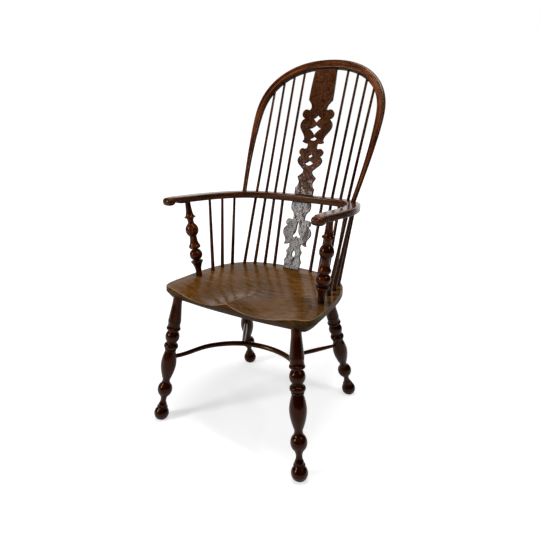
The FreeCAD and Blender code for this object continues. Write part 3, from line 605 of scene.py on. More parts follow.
class Skin:
    """Geometry Nodes tree that skins sticks and notes where in its own unbent log each point lies.

    Attributes:
        VECTORS: Values of a station that have three parts.
        INPUTS: Inputs of the tree, with the type of each.
        LOG_REACH: How far from the middle of its log a member may be cut, in metres.
        WAVER_SCALE: Fineness of the uneven thickness, in waves a metre.
        HOLLOW_POWER: How closely a hollow keeps to the middle of the front.
    """

    VECTORS = ("centre", "across", "over", "rim")
    INPUTS = {"Sticks": "Geometry", "Sides": "Int", "Waver": "Float", "Seed": "Int", "Finish": "Material"}
    LOG_REACH = (0.05, 0.05, 3.0)
    WAVER_SCALE = 22.0
    HOLLOW_POWER = 6.0

    def __init__(self) -> None:
        """Builds the tree."""
        self.tree = bpy.data.node_groups.new("member_skin", "GeometryNodeTree")
        self.ids: dict[str, str] = {}
        for name, kind in self.INPUTS.items():
            socket = self.tree.interface.new_socket(name, in_out="INPUT", socket_type="NodeSocket" + kind)
            self.ids[name] = socket.identifier
        self.tree.interface.new_socket("Wood", in_out="OUTPUT", socket_type="NodeSocketGeometry")
        self._fill(Graph(self.tree))

    def _fill(self, graph: Graph) -> None:
        """Adds the nodes: a rim swept along the sticks, its sections, the wood attribute and the finish.

        Args:
            graph: Empty tree with its inputs and output.
        """
        given = graph.add("NodeGroupInput").outputs
        path = graph.add("GeometryNodeMeshToCurve", {"Mesh": given["Sticks"]}).outputs[0]
        rim = graph.add("GeometryNodeCurvePrimitiveCircle", {"Resolution": given["Sides"], "Radius": 1.0})
        rim = self._store(graph, rim.outputs[0], "rim", graph.add("GeometryNodeInputPosition").outputs[0])
        swept = graph.add("GeometryNodeCurveToMesh", {"Curve": path, "Profile Curve": rim, "Fill Caps": True})
        out, rise = self._section(graph, given["Waver"])
        offset = graph.vector("ADD", graph.scaled(self._named(graph, "across"), out),
                              graph.scaled(self._named(graph, "over"), rise))
        position = graph.vector("ADD", self._named(graph, "centre"), offset)
        placed = graph.add("GeometryNodeSetPosition", {"Geometry": swept.outputs[0], "Position": position})
        log_place = graph.add("FunctionNodeRandomValue", {
            "Min": tuple(-reach for reach in self.LOG_REACH),
            "Max": self.LOG_REACH,
            "ID": self._named(graph, "number"),
            "Seed": given["Seed"],
        }, data_type="FLOAT_VECTOR").outputs[0]
        local = graph.add("ShaderNodeCombineXYZ", {0: out, 1: rise, 2: self._named(graph, "run")}).outputs[0]
        grained = self._store(graph, placed.outputs[0], "wood", graph.vector("ADD", local, log_place))
        smooth = graph.add("GeometryNodeSetShadeSmooth", {"Geometry": grained}).outputs[0]
        solid = graph.add("GeometryNodeRealizeInstances", {"Geometry": smooth}).outputs[0]
        dressed = graph.add("GeometryNodeSetMaterial", {"Geometry": solid, "Material": given["Finish"]})
        graph.add("NodeGroupOutput", {0: dressed.outputs[0]})

    def _named(self, graph: Graph, name: str) -> Socket:
        """Socket with a station's value."""
        kind = "FLOAT_VECTOR" if name in self.VECTORS else "FLOAT"
        return graph.add("GeometryNodeInputNamedAttribute", {"Name": name}, data_type=kind).outputs[0]

    def _store(self, graph: Graph, geometry: Socket, name: str, value: Socket) -> Socket:
        """Geometry with one more vector attribute."""
        inputs = {"Geometry": geometry, "Name": name, "Value": value}
        return graph.add("GeometryNodeStoreNamedAttribute", inputs, data_type="FLOAT_VECTOR").outputs[0]

    def _section(self, graph: Graph, waver: Socket) -> tuple[Socket, Socket]:
        """Shapes the section: a rounded rectangle that is hollowed along its front.

        Args:
            graph: The tree.
            waver: Share by which the thickness wanders.

        Returns:
            Offsets of a point on the rim across and over its member.
        """
        turn = graph.add("ShaderNodeSeparateXYZ", {0: self._named(graph, "rim")}).outputs
        power = graph.math("DIVIDE", 2.0, self._named(graph, "squareness"))
        numbered = {0: self._named(graph, "number"), 2: self._named(graph, "run")}
        stretched = graph.add("ShaderNodeCombineXYZ", numbered).outputs[0]
        uneven = graph.noise(stretched, self.WAVER_SCALE, 2.0).outputs[0]
        swell = graph.math("SUBTRACT", 1.0, graph.math("MULTIPLY", uneven, waver))
        offsets = []
        for socket, size in ((turn[0], "width"), (turn[1], "depth")):
            level = graph.math("POWER", graph.math("ABSOLUTE", socket), power)
            signed = graph.math("MULTIPLY", level, graph.math("SIGN", socket))
            half = graph.math("MULTIPLY", graph.math("MULTIPLY", self._named(graph, size), 0.5), swell)
            offsets.append(graph.math("MULTIPLY", signed, half))
        front = graph.math("POWER", graph.math("MAXIMUM", turn[1], 0.0), self.HOLLOW_POWER)
        scoop = graph.math("MULTIPLY", front, self._named(graph, "hollow"))
        return offsets[0], graph.math("SUBTRACT", offsets[1], scoop)

    def cover(self, name: str, sticks: Iterable[Stick], finish: bpy.types.Material, sides: int = 40,
              waver: float = 0.0, seed: int = 1) -> bpy.types.Object:
        """Skins sticks and keeps the result as a plain mesh.

        Args:
            name: Name of the piece.
            sticks: Members that make up the piece.
            finish: Material of the piece.
            sides: Points round each section.
            waver: Share by which the thickness wanders along a member.
            seed: Seed for the place of each member in its log.

        Returns:
            The finished object.
        """
        tables = [stick.fields(number) for number, stick in enumerate(sticks)]
        merged = {key: np.concatenate([table[key] for table in tables]) for key in tables[0]}
        merged["centre"] = merged["centre"] - (0.0, SETBACK * MM, 0.0)
        edges = []
        start = 0
        for table in tables:
            end = start + len(table["run"])
            edges += [(i, i + 1) for i in range(start, end - 1)]
            start = end
        mesh = bpy.data.meshes.new(name)
        mesh.from_pydata(merged["centre"].tolist(), edges, [])
        for key, values in merged.items():
            store(mesh, key, values)
        piece = linked(name, mesh)
        modifier = piece.modifiers.new("skin", "NODES")
        modifier.node_group = self.tree
        for key, value in (("Sides", sides), ("Waver", waver), ("Seed", seed), ("Finish", finish)):
            modifier[self.ids[key]] = value
        keep_as_mesh(piece, keep=("wood",))
        return piece


def keep_as_mesh(piece: bpy.types.Object, keep: Sequence[str] = ()) -> None:
    """Turns a piece's evaluated shape into its plain mesh.

    Args:
        piece: Object with modifiers.
        keep: Names of the attributes that stay.
    """
    graph = bpy.context.evaluated_depsgraph_get()
    graph.update()
    mesh = bpy.data.meshes.new_from_object(
        piece.evaluated_get(graph), preserve_all_data_layers=True, depsgraph=graph)
    rough = piece.data
    piece.modifiers.clear()
    piece.data = mesh
    mesh.name = piece.name
    bpy.data.meshes.remove(rough)
    kept = {"position", "sharp_face", "sharp_edge", "material_index", *keep}
    for name in [layer.name for layer in mesh.attributes if not layer.name.startswith(".")]:
        if name not in kept:
            mesh.attributes.remove(mesh.attributes[name])
    mesh.set_sharp_from_angle(angle=SHARP_ANGLE)


def place_in_chair(piece: bpy.types.Object, slot: str, *nodes: str) -> None:
    """Makes a piece stand for CAD nodes and ride on the chair.

    Args:
        piece: Finished piece.
        slot: Material slot of the record; not used.
        nodes: CAD nodes that it stands for.
    """
    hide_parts(*nodes)
    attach(piece, "root")
    log.info("%s stands for %s", piece.name, ", ".join(nodes))


def raised(foot: Array, head: Array, outline: Array) -> Stick:
    """Round stick from foot towards head.

    Args:
        foot: Where the outline's height 0 lies.
        head: Point that the stick's middle line passes through.
        outline: (height, diameter) rows.

    Returns:
        The stick with a circular section.
    """
    axis = unit(head - foot)
    across = unit(np.cross(axis, (0.0, 1.0, 0.0)))
    over = np.cross(axis, across)
    centre = foot + outline[:, :1] * axis
    return Stick(centre, across, over, outline[:, 1], outline[:, 1])


@dataclass
class TurnedLegs:
    """Four raked legs with ball feet, knobs, vases and collars, in millimetres."""

    front_top: tuple[float, float] = (201.5, 0.0)
    front_foot: tuple[float, float] = (249.6, -45.7)
    back_top: tuple[float, float] = (161.8, 289.8)
    back_foot: tuple[float, float] = (210.1, 417.9)
    foot_ball: float = 46.6
    foot_wear: float = 1.0
    ankle: float = 17.8
    knob: float = 46.0
    vase: float = 47.6
    ball: float = 43.6
    ring: float = 43.6
    collar: float = 37.4
    swell: float = 39.6
    tenon: float = 27.4
    socket: float = 15.0

    def ends(self, row: Row, side: Side) -> tuple[Array, Array]:
        """Where a leg's middle line meets the floor and the underside of the seat.

        Args:
            row: Pair that the leg is one of.
            side: Half of the chair.

        Returns:
            Both points.
        """
        top, foot = getattr(self, row.tag + "_top"), getattr(self, row.tag + "_foot")
        return (np.array([side.value * foot[0], foot[1], 0.0]),
                np.array([side.value * top[0], top[1], SEAT_BOTTOM]))

    def outline(self, length: float) -> Array:
        """Turned outline of a leg, whose runs are measured from the middle of its ball foot.

        Args:
            length: Length of the middle line from the floor to the underside of the seat.

        Returns:
            (height, diameter) rows, measured up from where the middle line meets the floor.
        """
        ball = self.foot_ball
        middle = (ball / 2 - self.foot_wear) * length / SEAT_BOTTOM
        neck = 18.4
        neck_width = 2 * math.sqrt((ball / 2) ** 2 - neck ** 2)
        return turned_outline([
            [(-ball / 2, 0.0), (0.0, ball), (neck, neck_width)],
            [(19.6, 27.4), (20.4, 31.6), (22.0, 33.0), (23.8, 31.6), (24.6, 27.8)],
            [(24.6, 27.8), (31.0, 25.5), (39.0, 19.6), (48.0, self.ankle), (57.0, 21.4), (66.0, 33.0)],
            [(66.0, 33.0), (84.5, self.knob), (103.0, 31.0)],
            [(103.0, 31.0), (114.0, 23.2), (125.0, 28.4)],
            [(125.0, 28.4), (148.5, 41.6), (173.5, self.vase), (197.0, 41.6), (217.0, 30.6)],
            [(217.0, 33.6), (219.0, 35.6), (221.0, 33.6)],
            [(222.4, 31.0), (232.0, 44.0), (241.0, 29.6)],
            [(241.0, 29.6), (243.4, 27.4), (246.0, 30.0)],
            [(246.0, 30.0), (263.0, self.ball), (280.0, 31.0)],
            [(280.0, 31.0), (282.6, 29.4), (285.4, 33.0)],
            [(285.4, 34.0), (290.0, self.ring), (294.6, 36.0)],
            [(295.6, 39.4), (304.6, self.collar), (313.2, 39.2)],
            [(313.8, 35.8), (316.0, 35.8)],
            [(316.6, self.swell), (343.0, 34.2), (372.0, 28.6)],
            [(372.0, 28.6), (length + self.socket - middle, self.tenon)],
        ], middle)

    def build(self, skin: Skin, finish: bpy.types.Material) -> None:
        """Makes the four legs and wears their feet flat on the floor.

        Args:
            skin: Tree that skins the sticks.
            finish: Material of the legs.
        """
        for row in Row:
            for side in Side:
                foot, head = self.ends(row, side)
                stick = raised(foot, head, self.outline(float(np.linalg.norm(head - foot))))
                name = f"{row.tag}_leg_{side.tag}"
                seed = 10 + 4 * row.value + side.value
                leg = skin.cover("turned_" + name, [stick], finish, sides=56, waver=0.004, seed=seed)
                for vertex in leg.data.vertices:
                    vertex.co.z = max(vertex.co.z, 0.0)
                place_in_chair(leg, "turnings", name)


@dataclass
class Stretcher:
    """Bow between the front legs, braced by a turned spur from each back leg, in millimetres."""

    legs: TurnedLegs
    height: float = 212.0
    middle: float = 17.0
    end: float = 13.0
    back: float = 195.0
    spread: float = 84.0
    spur_drop: float = 4.0
    spur_end: float = 9.5
    spur_shoulder: float = 11.1
    spur_middle: float = 14.0
    stations: int = 90

    def on_leg(self, row: Row, side: Side, height: float) -> Array:
        """Point on a leg's middle line."""
        foot, head = self.legs.ends(row, side)
        return foot + (head - foot) * height / SEAT_BOTTOM

    def bow(self) -> Stick:
        """Bent round rail, a little thinner towards its ends.

        Returns:
            The stick from leg to leg.
        """
        x, y, z = self.on_leg(Row.FRONT, Side.RIGHT, self.height)
        half = [(x - 4, y + 6, z), (x - 19, y + 30, z), (x * 0.78, self.back - 103, z),
                (x * 0.642, self.back - 61, z), (self.spread, self.back - 17, z)]
        other = [(-px, py, pz) for px, py, pz in half]
        line = spline([*other, (0.0, self.back, z), *half[::-1]], self.stations)
        tangent = unit(np.gradient(line, axis=0))
        thick = self.end + (self.middle - self.end) * np.sin(np.linspace(0, math.pi, len(line)))
        up = np.array([0.0, 0.0, 1.0])
        return Stick(line, unit(np.cross(tangent, up)), up, thick, thick)

    def spur(self, side: Side) -> Stick:
        """Turned brace, thickest in its middle.

        Args:
            side: Half of the chair.

        Returns:
            The stick from the back leg to the bow.
        """
        leg = self.on_leg(Row.BACK, side, self.height - self.spur_drop)
        bow = np.array([side.value * self.spread, self.back - 17, self.height])
        length = float(np.linalg.norm(bow - leg))
        outline = turned_outline([[
            (3.0, self.spur_end), (length * 0.2, self.spur_shoulder), (length * 0.5, self.spur_middle),
            (length * 0.8, self.spur_shoulder), (length - 2, self.spur_end),
        ]])
        return raised(leg, bow, outline)

    def build(self, skin: Skin, finish: bpy.types.Material) -> None:
        """Makes the bow and both spurs.

        Args:
            skin: Tree that skins the sticks.
            finish: Material of the stretcher.
        """
        bow = skin.cover("bent_stretcher", [self.bow()], finish, sides=36, waver=0.03, seed=21)
        place_in_chair(bow, "stretchers", "stretcher_bow")
        for side in Side:
            name = "turned_spur_" + side.tag
            spur = skin.cover(name, [self.spur(side)], finish, sides=32, waver=0.02, seed=30 + side.value)
            place_in_chair(spur, "stretchers", "stretcher_spur_" + side.tag)


@dataclass
class ArmBow:
    """Bent rail round the back that ends in scrolled hands, in millimetres."""

    top: float = 687.5
    slope: float = 0.046
    back: float = 414.0
    thickness: float = 23.5
    hand_thickness: float = 18.5
    width: float = 40.0
    hand_width: float = 32.0
    half_span: float = 240.0
    tip: float = 4.0
    hand_length: float = 32.0
    hand_rounds: tuple[float, float] = (13.0, 9.0)
    roll: float = 12.0
    dip: float = 1.6
    notch: float = 11.5
    post_y: float = 99.1
    hoop_foot: tuple[float, float] = (201.4, 358.0)
    squareness: tuple[float, float] = (3.0, 6.5)
    samples: int = 2400
    tip_run: float = 13.0
    hand_run: float = 52.0
    hand_step: float = 1.2
    rail_step: float = 6.0

    def over(self, y: Array | float) -> Array | float:
        """Height of the upper face at a distance back along the chair."""
        return self.top + self.slope * (self.back - y)

    def under(self, y: Array | float) -> Array | float:
        """Height of the underside, which rises towards the hands."""
        share = (self.back - y) / (self.back - self.tip)
        return self.over(y) - self.thickness + (self.thickness - self.hand_thickness) * share

    def line(self, count: int) -> Array:
        """Middle line in plan.

        Args:
            count: Number of samples.

        Returns:
            The samples from the left hand round the back to the right hand.
        """
        span, back = self.half_span, self.back
        half = [(span + 2, self.tip), (span + 0.9, 40.0), (span, 100.0), (span + 1, 170.0), (span - 3, 238.0),
                (span - 15, 298.0), (self.hoop_foot[0], self.hoop_foot[1] - 1), (span - 76, back - 21),
                (span * 0.467, back - 6), (span * 0.242, back - 1)]
        return spline([*((-x, y) for x, y in half), (0.0, back), *half[::-1]], count)

    def back_at(self, x: float) -> float:
        """How far back the middle line lies at a distance from the mid-plane.

        Args:
            x: The distance.

        Returns:
            The line's Y.
        """
        line = self.line(self.samples // 2)
        rear = line[(line[:, 1] > self.hoop_foot[1] - 40) & (line[:, 0] > 0)]
        return float(rear[np.argmin(np.abs(rear[:, 0] - x)), 1])

    def _side_profile(self, y: Array) -> tuple[Array, Array]:
        """Side view of the rail, with the roll and the notch of the hands.

        Args:
            y: How far back each station lies.

        Returns:
            Heights of the upper and the lower face.
        """
        tip, notch, roll, dip = self.tip, self.tip + self.hand_length, self.roll, self.dip
        turn = np.linspace(0.0, math.pi / 2, 40)
        nose = tip + roll * (1 - np.cos(turn))
        top = [(tip + roll, -dip), (tip + 24, -dip * 0.45), (tip + 38, -dip * 0.15), (tip + 54, 0.0)]
        crest = np.vstack([np.column_stack([nose, roll * np.sin(turn) - roll - dip]), spline(top, 40)[1:]])
        deep = float(self.over(tip + 20) - self.under(tip + 20)) - dip - 2 * roll
        heel = spline([(tip + roll, deep), (tip + 1.55 * roll, deep + 0.4), (notch - 8.5, -self.notch * 0.4),
                       (notch - 3.5, self.notch - 6), (notch, self.notch)], 60)
        lobe = spline([(notch, self.notch), (notch + 3, self.notch * 0.52), (notch + 11, 0.4),
                       (notch + 26, -1.8), (self.post_y - 6, 0.0)], 60)
        belly = np.vstack([np.column_stack([nose, deep + roll * (1 - np.sin(turn))]), heel[1:], lobe[1:]])
        return (self.over(y) + np.interp(y, crest[:, 0], crest[:, 1]),
                self.under(y) + np.interp(y, belly[:, 0], belly[:, 1]))

    def _rounding(self, y: Array) -> list[Array]:
        """How much the outer and the inner corner of a hand take off its width.

        Args:
            y: How far back each station lies.

        Returns:
            The loss at the outer side and at the inner side.
        """
        losses = []
        for radius in self.hand_rounds:
            ahead = np.clip(radius - y + self.tip, 0, radius)
            losses.append(radius - np.sqrt(np.maximum(0.0, radius ** 2 - ahead ** 2)))
        return losses

    def stick(self) -> Stick:
        """Stations crowded at the hands, with rectangular sections whose corners are eased.

        Returns:
            The stick from hand to hand.
        """
        line = self.line(self.samples)
        travel = travelled(line)
        tips = self.tip_run * (1 - np.cos(np.linspace(0, math.pi / 2, 26)))
        hand = np.concatenate([tips, np.arange(self.tip_run + 1, self.hand_run, self.hand_step)])
        middle = np.arange(self.hand_run + 2, travel[-1] - self.hand_run - 1, self.rail_step)
        at = np.concatenate([hand, middle, travel[-1] - hand[::-1]])
        plan = np.column_stack([np.interp(at, travel, column) for column in line.T])
        tangent = unit(np.column_stack([np.interp(at, travel, np.gradient(column)) for column in line.T]))
        away = np.stack([-tangent[:, 1], tangent[:, 0]], axis=1)
        y = plan[:, 1]
        share = np.clip((y - self.tip) / self.post_y, 0, 1)
        width = self.hand_width + (self.width - self.hand_width) * share
        outer, inner = self._rounding(y)
        plan = plan + away * ((inner - outer) / 2)[:, None]
        high, low = self._side_profile(y)
        centre = np.column_stack([plan, (high + low) / 2])
        across = np.column_stack([away, np.zeros(len(away))])
        soft, crisp = self.squareness
        blunt = soft + (crisp - soft) * smoothstep((y - self.tip - 10) / 60)
        return Stick(centre, across, np.array([0.0, 0.0, 1.0]), width - outer - inner, high - low, blunt)

    def build(self, skin: Skin, finish: bpy.types.Material) -> None:
        """Makes the bow."""
        piece = skin.cover("bent_arm_bow", [self.stick()], finish, sides=64, seed=41)
        place_in_chair(piece, "bows", "arm_bow")


@dataclass
class BackHoop:
    """Steam-bent hoop, hollowed along its front, in millimetres."""

    bow: ArmBow
    lean: float = 26.4
    half_width: float = 225.0
    widest: float = 285.0
    rise: float = 482.0
    arch: float = 2.24
    width: float = 28.5
    crown: float = 32.9
    depth: float = 23.9
    foot: float = 15.0
    groove: float = 1.3
    taper: float = 0.36
    socket: float = 10.0
    squareness: tuple[float, float] = (2.0, 3.4)
    round_foot: float = 0.007
    stations: int = 260

    def point(self, distance: float, out: float) -> Array:
        """Point in the leaning plane of the hoop.

        Args:
            distance: Slope distance above the arm bow.
            out: Offset from the mid-plane.

        Returns:
            The point.
        """
        y = self.bow.hoop_foot[1] + distance * math.sin(math.radians(self.lean))
        z = self.bow.over(self.bow.hoop_foot[1]) + distance * math.cos(math.radians(self.lean))
        return np.array([out, y, z])

    def half_width_at(self, distance: float) -> float:
        """Half width below the widest place."""
        swell = math.sin(math.pi / 2 * distance / self.widest)
        return self.bow.hoop_foot[0] + (self.half_width - self.bow.hoop_foot[0]) * swell

    def distance_at(self, out: float) -> float:
        """Slope distance of the arch at an offset from the mid-plane."""
        share = (1 - (abs(out) / self.half_width) ** self.arch) ** (1 / self.arch)
        return self.widest + (self.rise - self.widest) * share

    def stick(self) -> Stick:
        """Stations from the left foot over the crown to the right foot.

        Returns:
            The stick, round at its feet and squarer above.
        """
        low = [-self.socket, *(self.widest * step / 5 for step in range(5))]
        half = [self.point(distance, self.half_width_at(distance)) for distance in low]
        for step in range(6):
            turn = math.pi / 12 * step
            distance = self.widest + (self.rise - self.widest) * math.sin(turn) ** (2 / self.arch)
            half.append(self.point(distance, self.half_width * math.cos(turn) ** (2 / self.arch)))
        other = [point * (-1, 1, 1) for point in half]
        line = spline([*other, self.point(self.rise, 0.0), *half[::-1]], self.stations)
        lean = math.radians(self.lean)
        front = np.array([0.0, -math.cos(lean), math.sin(lean)])
        share = np.linspace(0, 1, len(line))
        along = np.maximum(0.0, np.minimum(share, 1 - share) - self.round_foot)
        ease = smoothstep(along / self.taper)
        width = self.foot + (self.width - self.foot) * ease + (self.crown - self.width) * (2 * along) ** 3
        depth = self.foot + (self.depth - self.foot) * ease
        across = unit(np.cross(front, np.gradient(line, axis=0)))
        soft, crisp = self.squareness
        return Stick(line, across, front, width, depth, soft + (crisp - soft) * ease, self.groove * ease)

    def build(self, skin: Skin, finish: bpy.types.Material) -> None:
        """Makes the hoop."""
        piece = skin.cover("bent_hoop", [self.stick()], finish, sides=56, waver=0.012, seed=51)
        place_in_chair(piece, "bows", "back_hoop")


@dataclass
class ArmPosts:
    """Two turned posts between the seat and the arm bow, in millimetres."""

    seat: "SaddledSeat"
    bow: ArmBow
    base: tuple[float, float] = (214.3, 118.6)
    top: tuple[float, float] = (239.1, 99.1)
    foot: float = 18.6
    cup: float = 38.0
    ball: float = 41.0
    disc: float = 37.0
    waist: float = 22.5
    head: float = 16.0

    def outline(self, length: float) -> Array:
        """Turned outline of a post.

        Args:
            length: Distance from the seat to the underside of the arm bow.

        Returns:
            (height, diameter) rows, measured up from the seat.
        """
        cup, ball, disc, waist = self.cup, self.ball, self.disc, self.waist
        return turned_outline([
            [(-SEAT_SOCKET, self.foot), (0.0, self.foot)],
            [(0.0, self.foot), (22.0, 20.0), (38.0, 28.0), (47.0, cup)],
            [(47.0, cup), (49.0, cup + 0.8), (51.0, cup - 1)],
            [(53.0, 18.0), (55.5, 17.0)],
            [(55.5, 22.0), (62.0, 36.0), (71.0, ball), (80.0, 36.5), (87.5, 23.0)],
            [(87.5, 19.0), (93.0, 18.6)],
            [(93.0, 31.0), (95.0, 35.6), (98.0, disc), (100.5, 36.6)],
            [(100.5, 36.6), (106.0, 30.6), (118.0, 24.0), (130.0, waist), (134.0, waist)],
            [(134.0, 24.0), (142.0, 36.4), (152.0, ball), (162.0, 36.8), (172.0, 23.0)],
            [(172.0, 21.0), (180.0, 18.6), (188.0, 21.0)],
            [(188.0, 21.0), (192.0, 30.0), (194.0, disc - 1), (195.0, disc - 1)],
            [(195.0, disc - 1), (198.5, 27.0), (205.0, 22.5), (218.0, 19.0), (length, self.head)],
            [(length, self.head), (length + BOW_SOCKET, self.head)],
        ])

    def build(self, skin: Skin, finish: bpy.types.Material) -> None:
        """Makes both posts.

        Args:
            skin: Tree that skins the sticks.
            finish: Material of the posts.
        """
        drop = float(self.seat.drop(np.array([self.base[0]]), np.array([self.base[1]]))[0])
        for side in Side:
            foot = np.array([side.value * self.base[0], self.base[1], SEAT_TOP - drop])
            head = np.array([side.value * self.top[0], self.top[1], self.bow.under(self.top[1])])
            stick = raised(foot, head, self.outline(float(np.linalg.norm(head - foot))))
            name = "arm_post_" + side.tag
            post = skin.cover("turned_" + name, [stick], finish, sides=56, waver=0.004, seed=60 + side.value)
            place_in_chair(post, "turnings", name)


@dataclass
class Spindles:
    """Plain tapered sticks of the sides and the back, in millimetres."""

    bow: ArmBow
    hoop: BackHoop
    side_base: float = 12.6
    side_top: float = 8.6
    back_base: float = 11.6
    back_bend: float = 10.2
    back_top: float = 8.4
    hoop_stop: float = 6.0
    side_stations: int = 30
    back_stations: tuple[int, int] = (14, 18)
    sides: tuple[tuple[str, tuple[float, float], tuple[float, float]], ...] = (
        ("front", (209.0, 183.0), (240.5, 211.0)),
        ("middle", (206.0, 231.0), (232.0, 269.0)),
        ("rear", (199.0, 280.0), (219.0, 322.0)),
    )
    backs: tuple[tuple[tuple[float, float], float, float], ...] = (
        ((69.0, 350.0), 75.0, 82.0),
        ((104.0, 343.0), 108.0, 119.5),
        ((138.0, 331.0), 140.0, 154.5),
        ((170.0, 313.0), 171.0, 186.0),
    )

    def side_stick(self, side: Side, base: tuple[float, float], top: tuple[float, float]) -> Stick:
        """Stick from the seat to the underside of the arm bow.

        Args:
            side: Half of the chair.
            base: Plan of its foot on the seat.
            top: Plan of its head under the bow.

        Returns:
            The stick.
        """
        foot = np.array([side.value * base[0], base[1], SEAT_TOP])
        head = np.array([side.value * top[0], top[1], self.bow.under(top[1])])
        length = float(np.linalg.norm(head - foot))
        ends = (-SEAT_SOCKET, self.side_base), (length + BOW_SOCKET, self.side_top)
        return raised(foot, head, np.linspace(*ends, self.side_stations))

    def back_stick(self, side: Side, base: tuple[float, float], bow_x: float, hoop_x: float) -> Stick:
        """Stick from the seat through the arm bow to the hoop, sprung to a slight bend in the bow.

        Args:
            side: Half of the chair.
            base: Plan of its foot on the seat.
            bow_x: Distance from the mid-plane in the bow.
            hoop_x: Distance from the mid-plane in the hoop.

        Returns:
            The stick.
        """
        foot = np.array([side.value * base[0], base[1], SEAT_TOP])
        y = self.bow.back_at(bow_x)
        middle = np.array([side.value * bow_x, y, (self.bow.under(y) + self.bow.over(y)) / 2])
        top = self.hoop.point(self.hoop.distance_at(hoop_x), side.value * hoop_x)
        low = foot - unit(middle - foot) * SEAT_SOCKET
        high = top - unit(top - middle) * self.hoop_stop
        below, above = self.back_stations
        lower = np.linspace(foot, middle, below)[1:]
        upper = np.linspace(middle, top, above)[1:-1]
        line = np.array([low, *lower, *upper, high])
        run = travelled(line)
        bend = float(run[len(lower)])
        thick = np.interp(run, [SEAT_SOCKET, bend, run[-1]], [self.back_base, self.back_bend, self.back_top])
        across = unit(np.cross(np.gradient(line, axis=0), (0.0, 1.0, 0.0)))
        over = np.cross(unit(np.gradient(line, axis=0)), across)
        return Stick(line, across, over, thick, thick)

    def build(self, skin: Skin, finish: bpy.types.Material) -> None:
        """Makes the side and back spindles of both halves, a set to a piece.

        Args:
            skin: Tree that skins the sticks.
            finish: Material of the spindles.
        """
        for side in Side:
            beside = [self.side_stick(side, base, top) for _, base, top in self.sides]
            behind = [self.back_stick(side, *places) for places in self.backs]
            places = [place for place, _, _ in self.sides]
            numbers = range(1, len(self.backs) + 1)
            for kind, sticks, marks, seed in (("side", beside, places, 70), ("back", behind, numbers, 80)):
                name = f"{kind}_spindles_{side.tag}"
                piece = skin.cover(name, sticks, finish, sides=28, waver=0.05, seed=seed + side.value)
                place_in_chair(piece, "spindles", *(f"{kind}_spindle_{side.tag}_{mark}" for mark in marks))


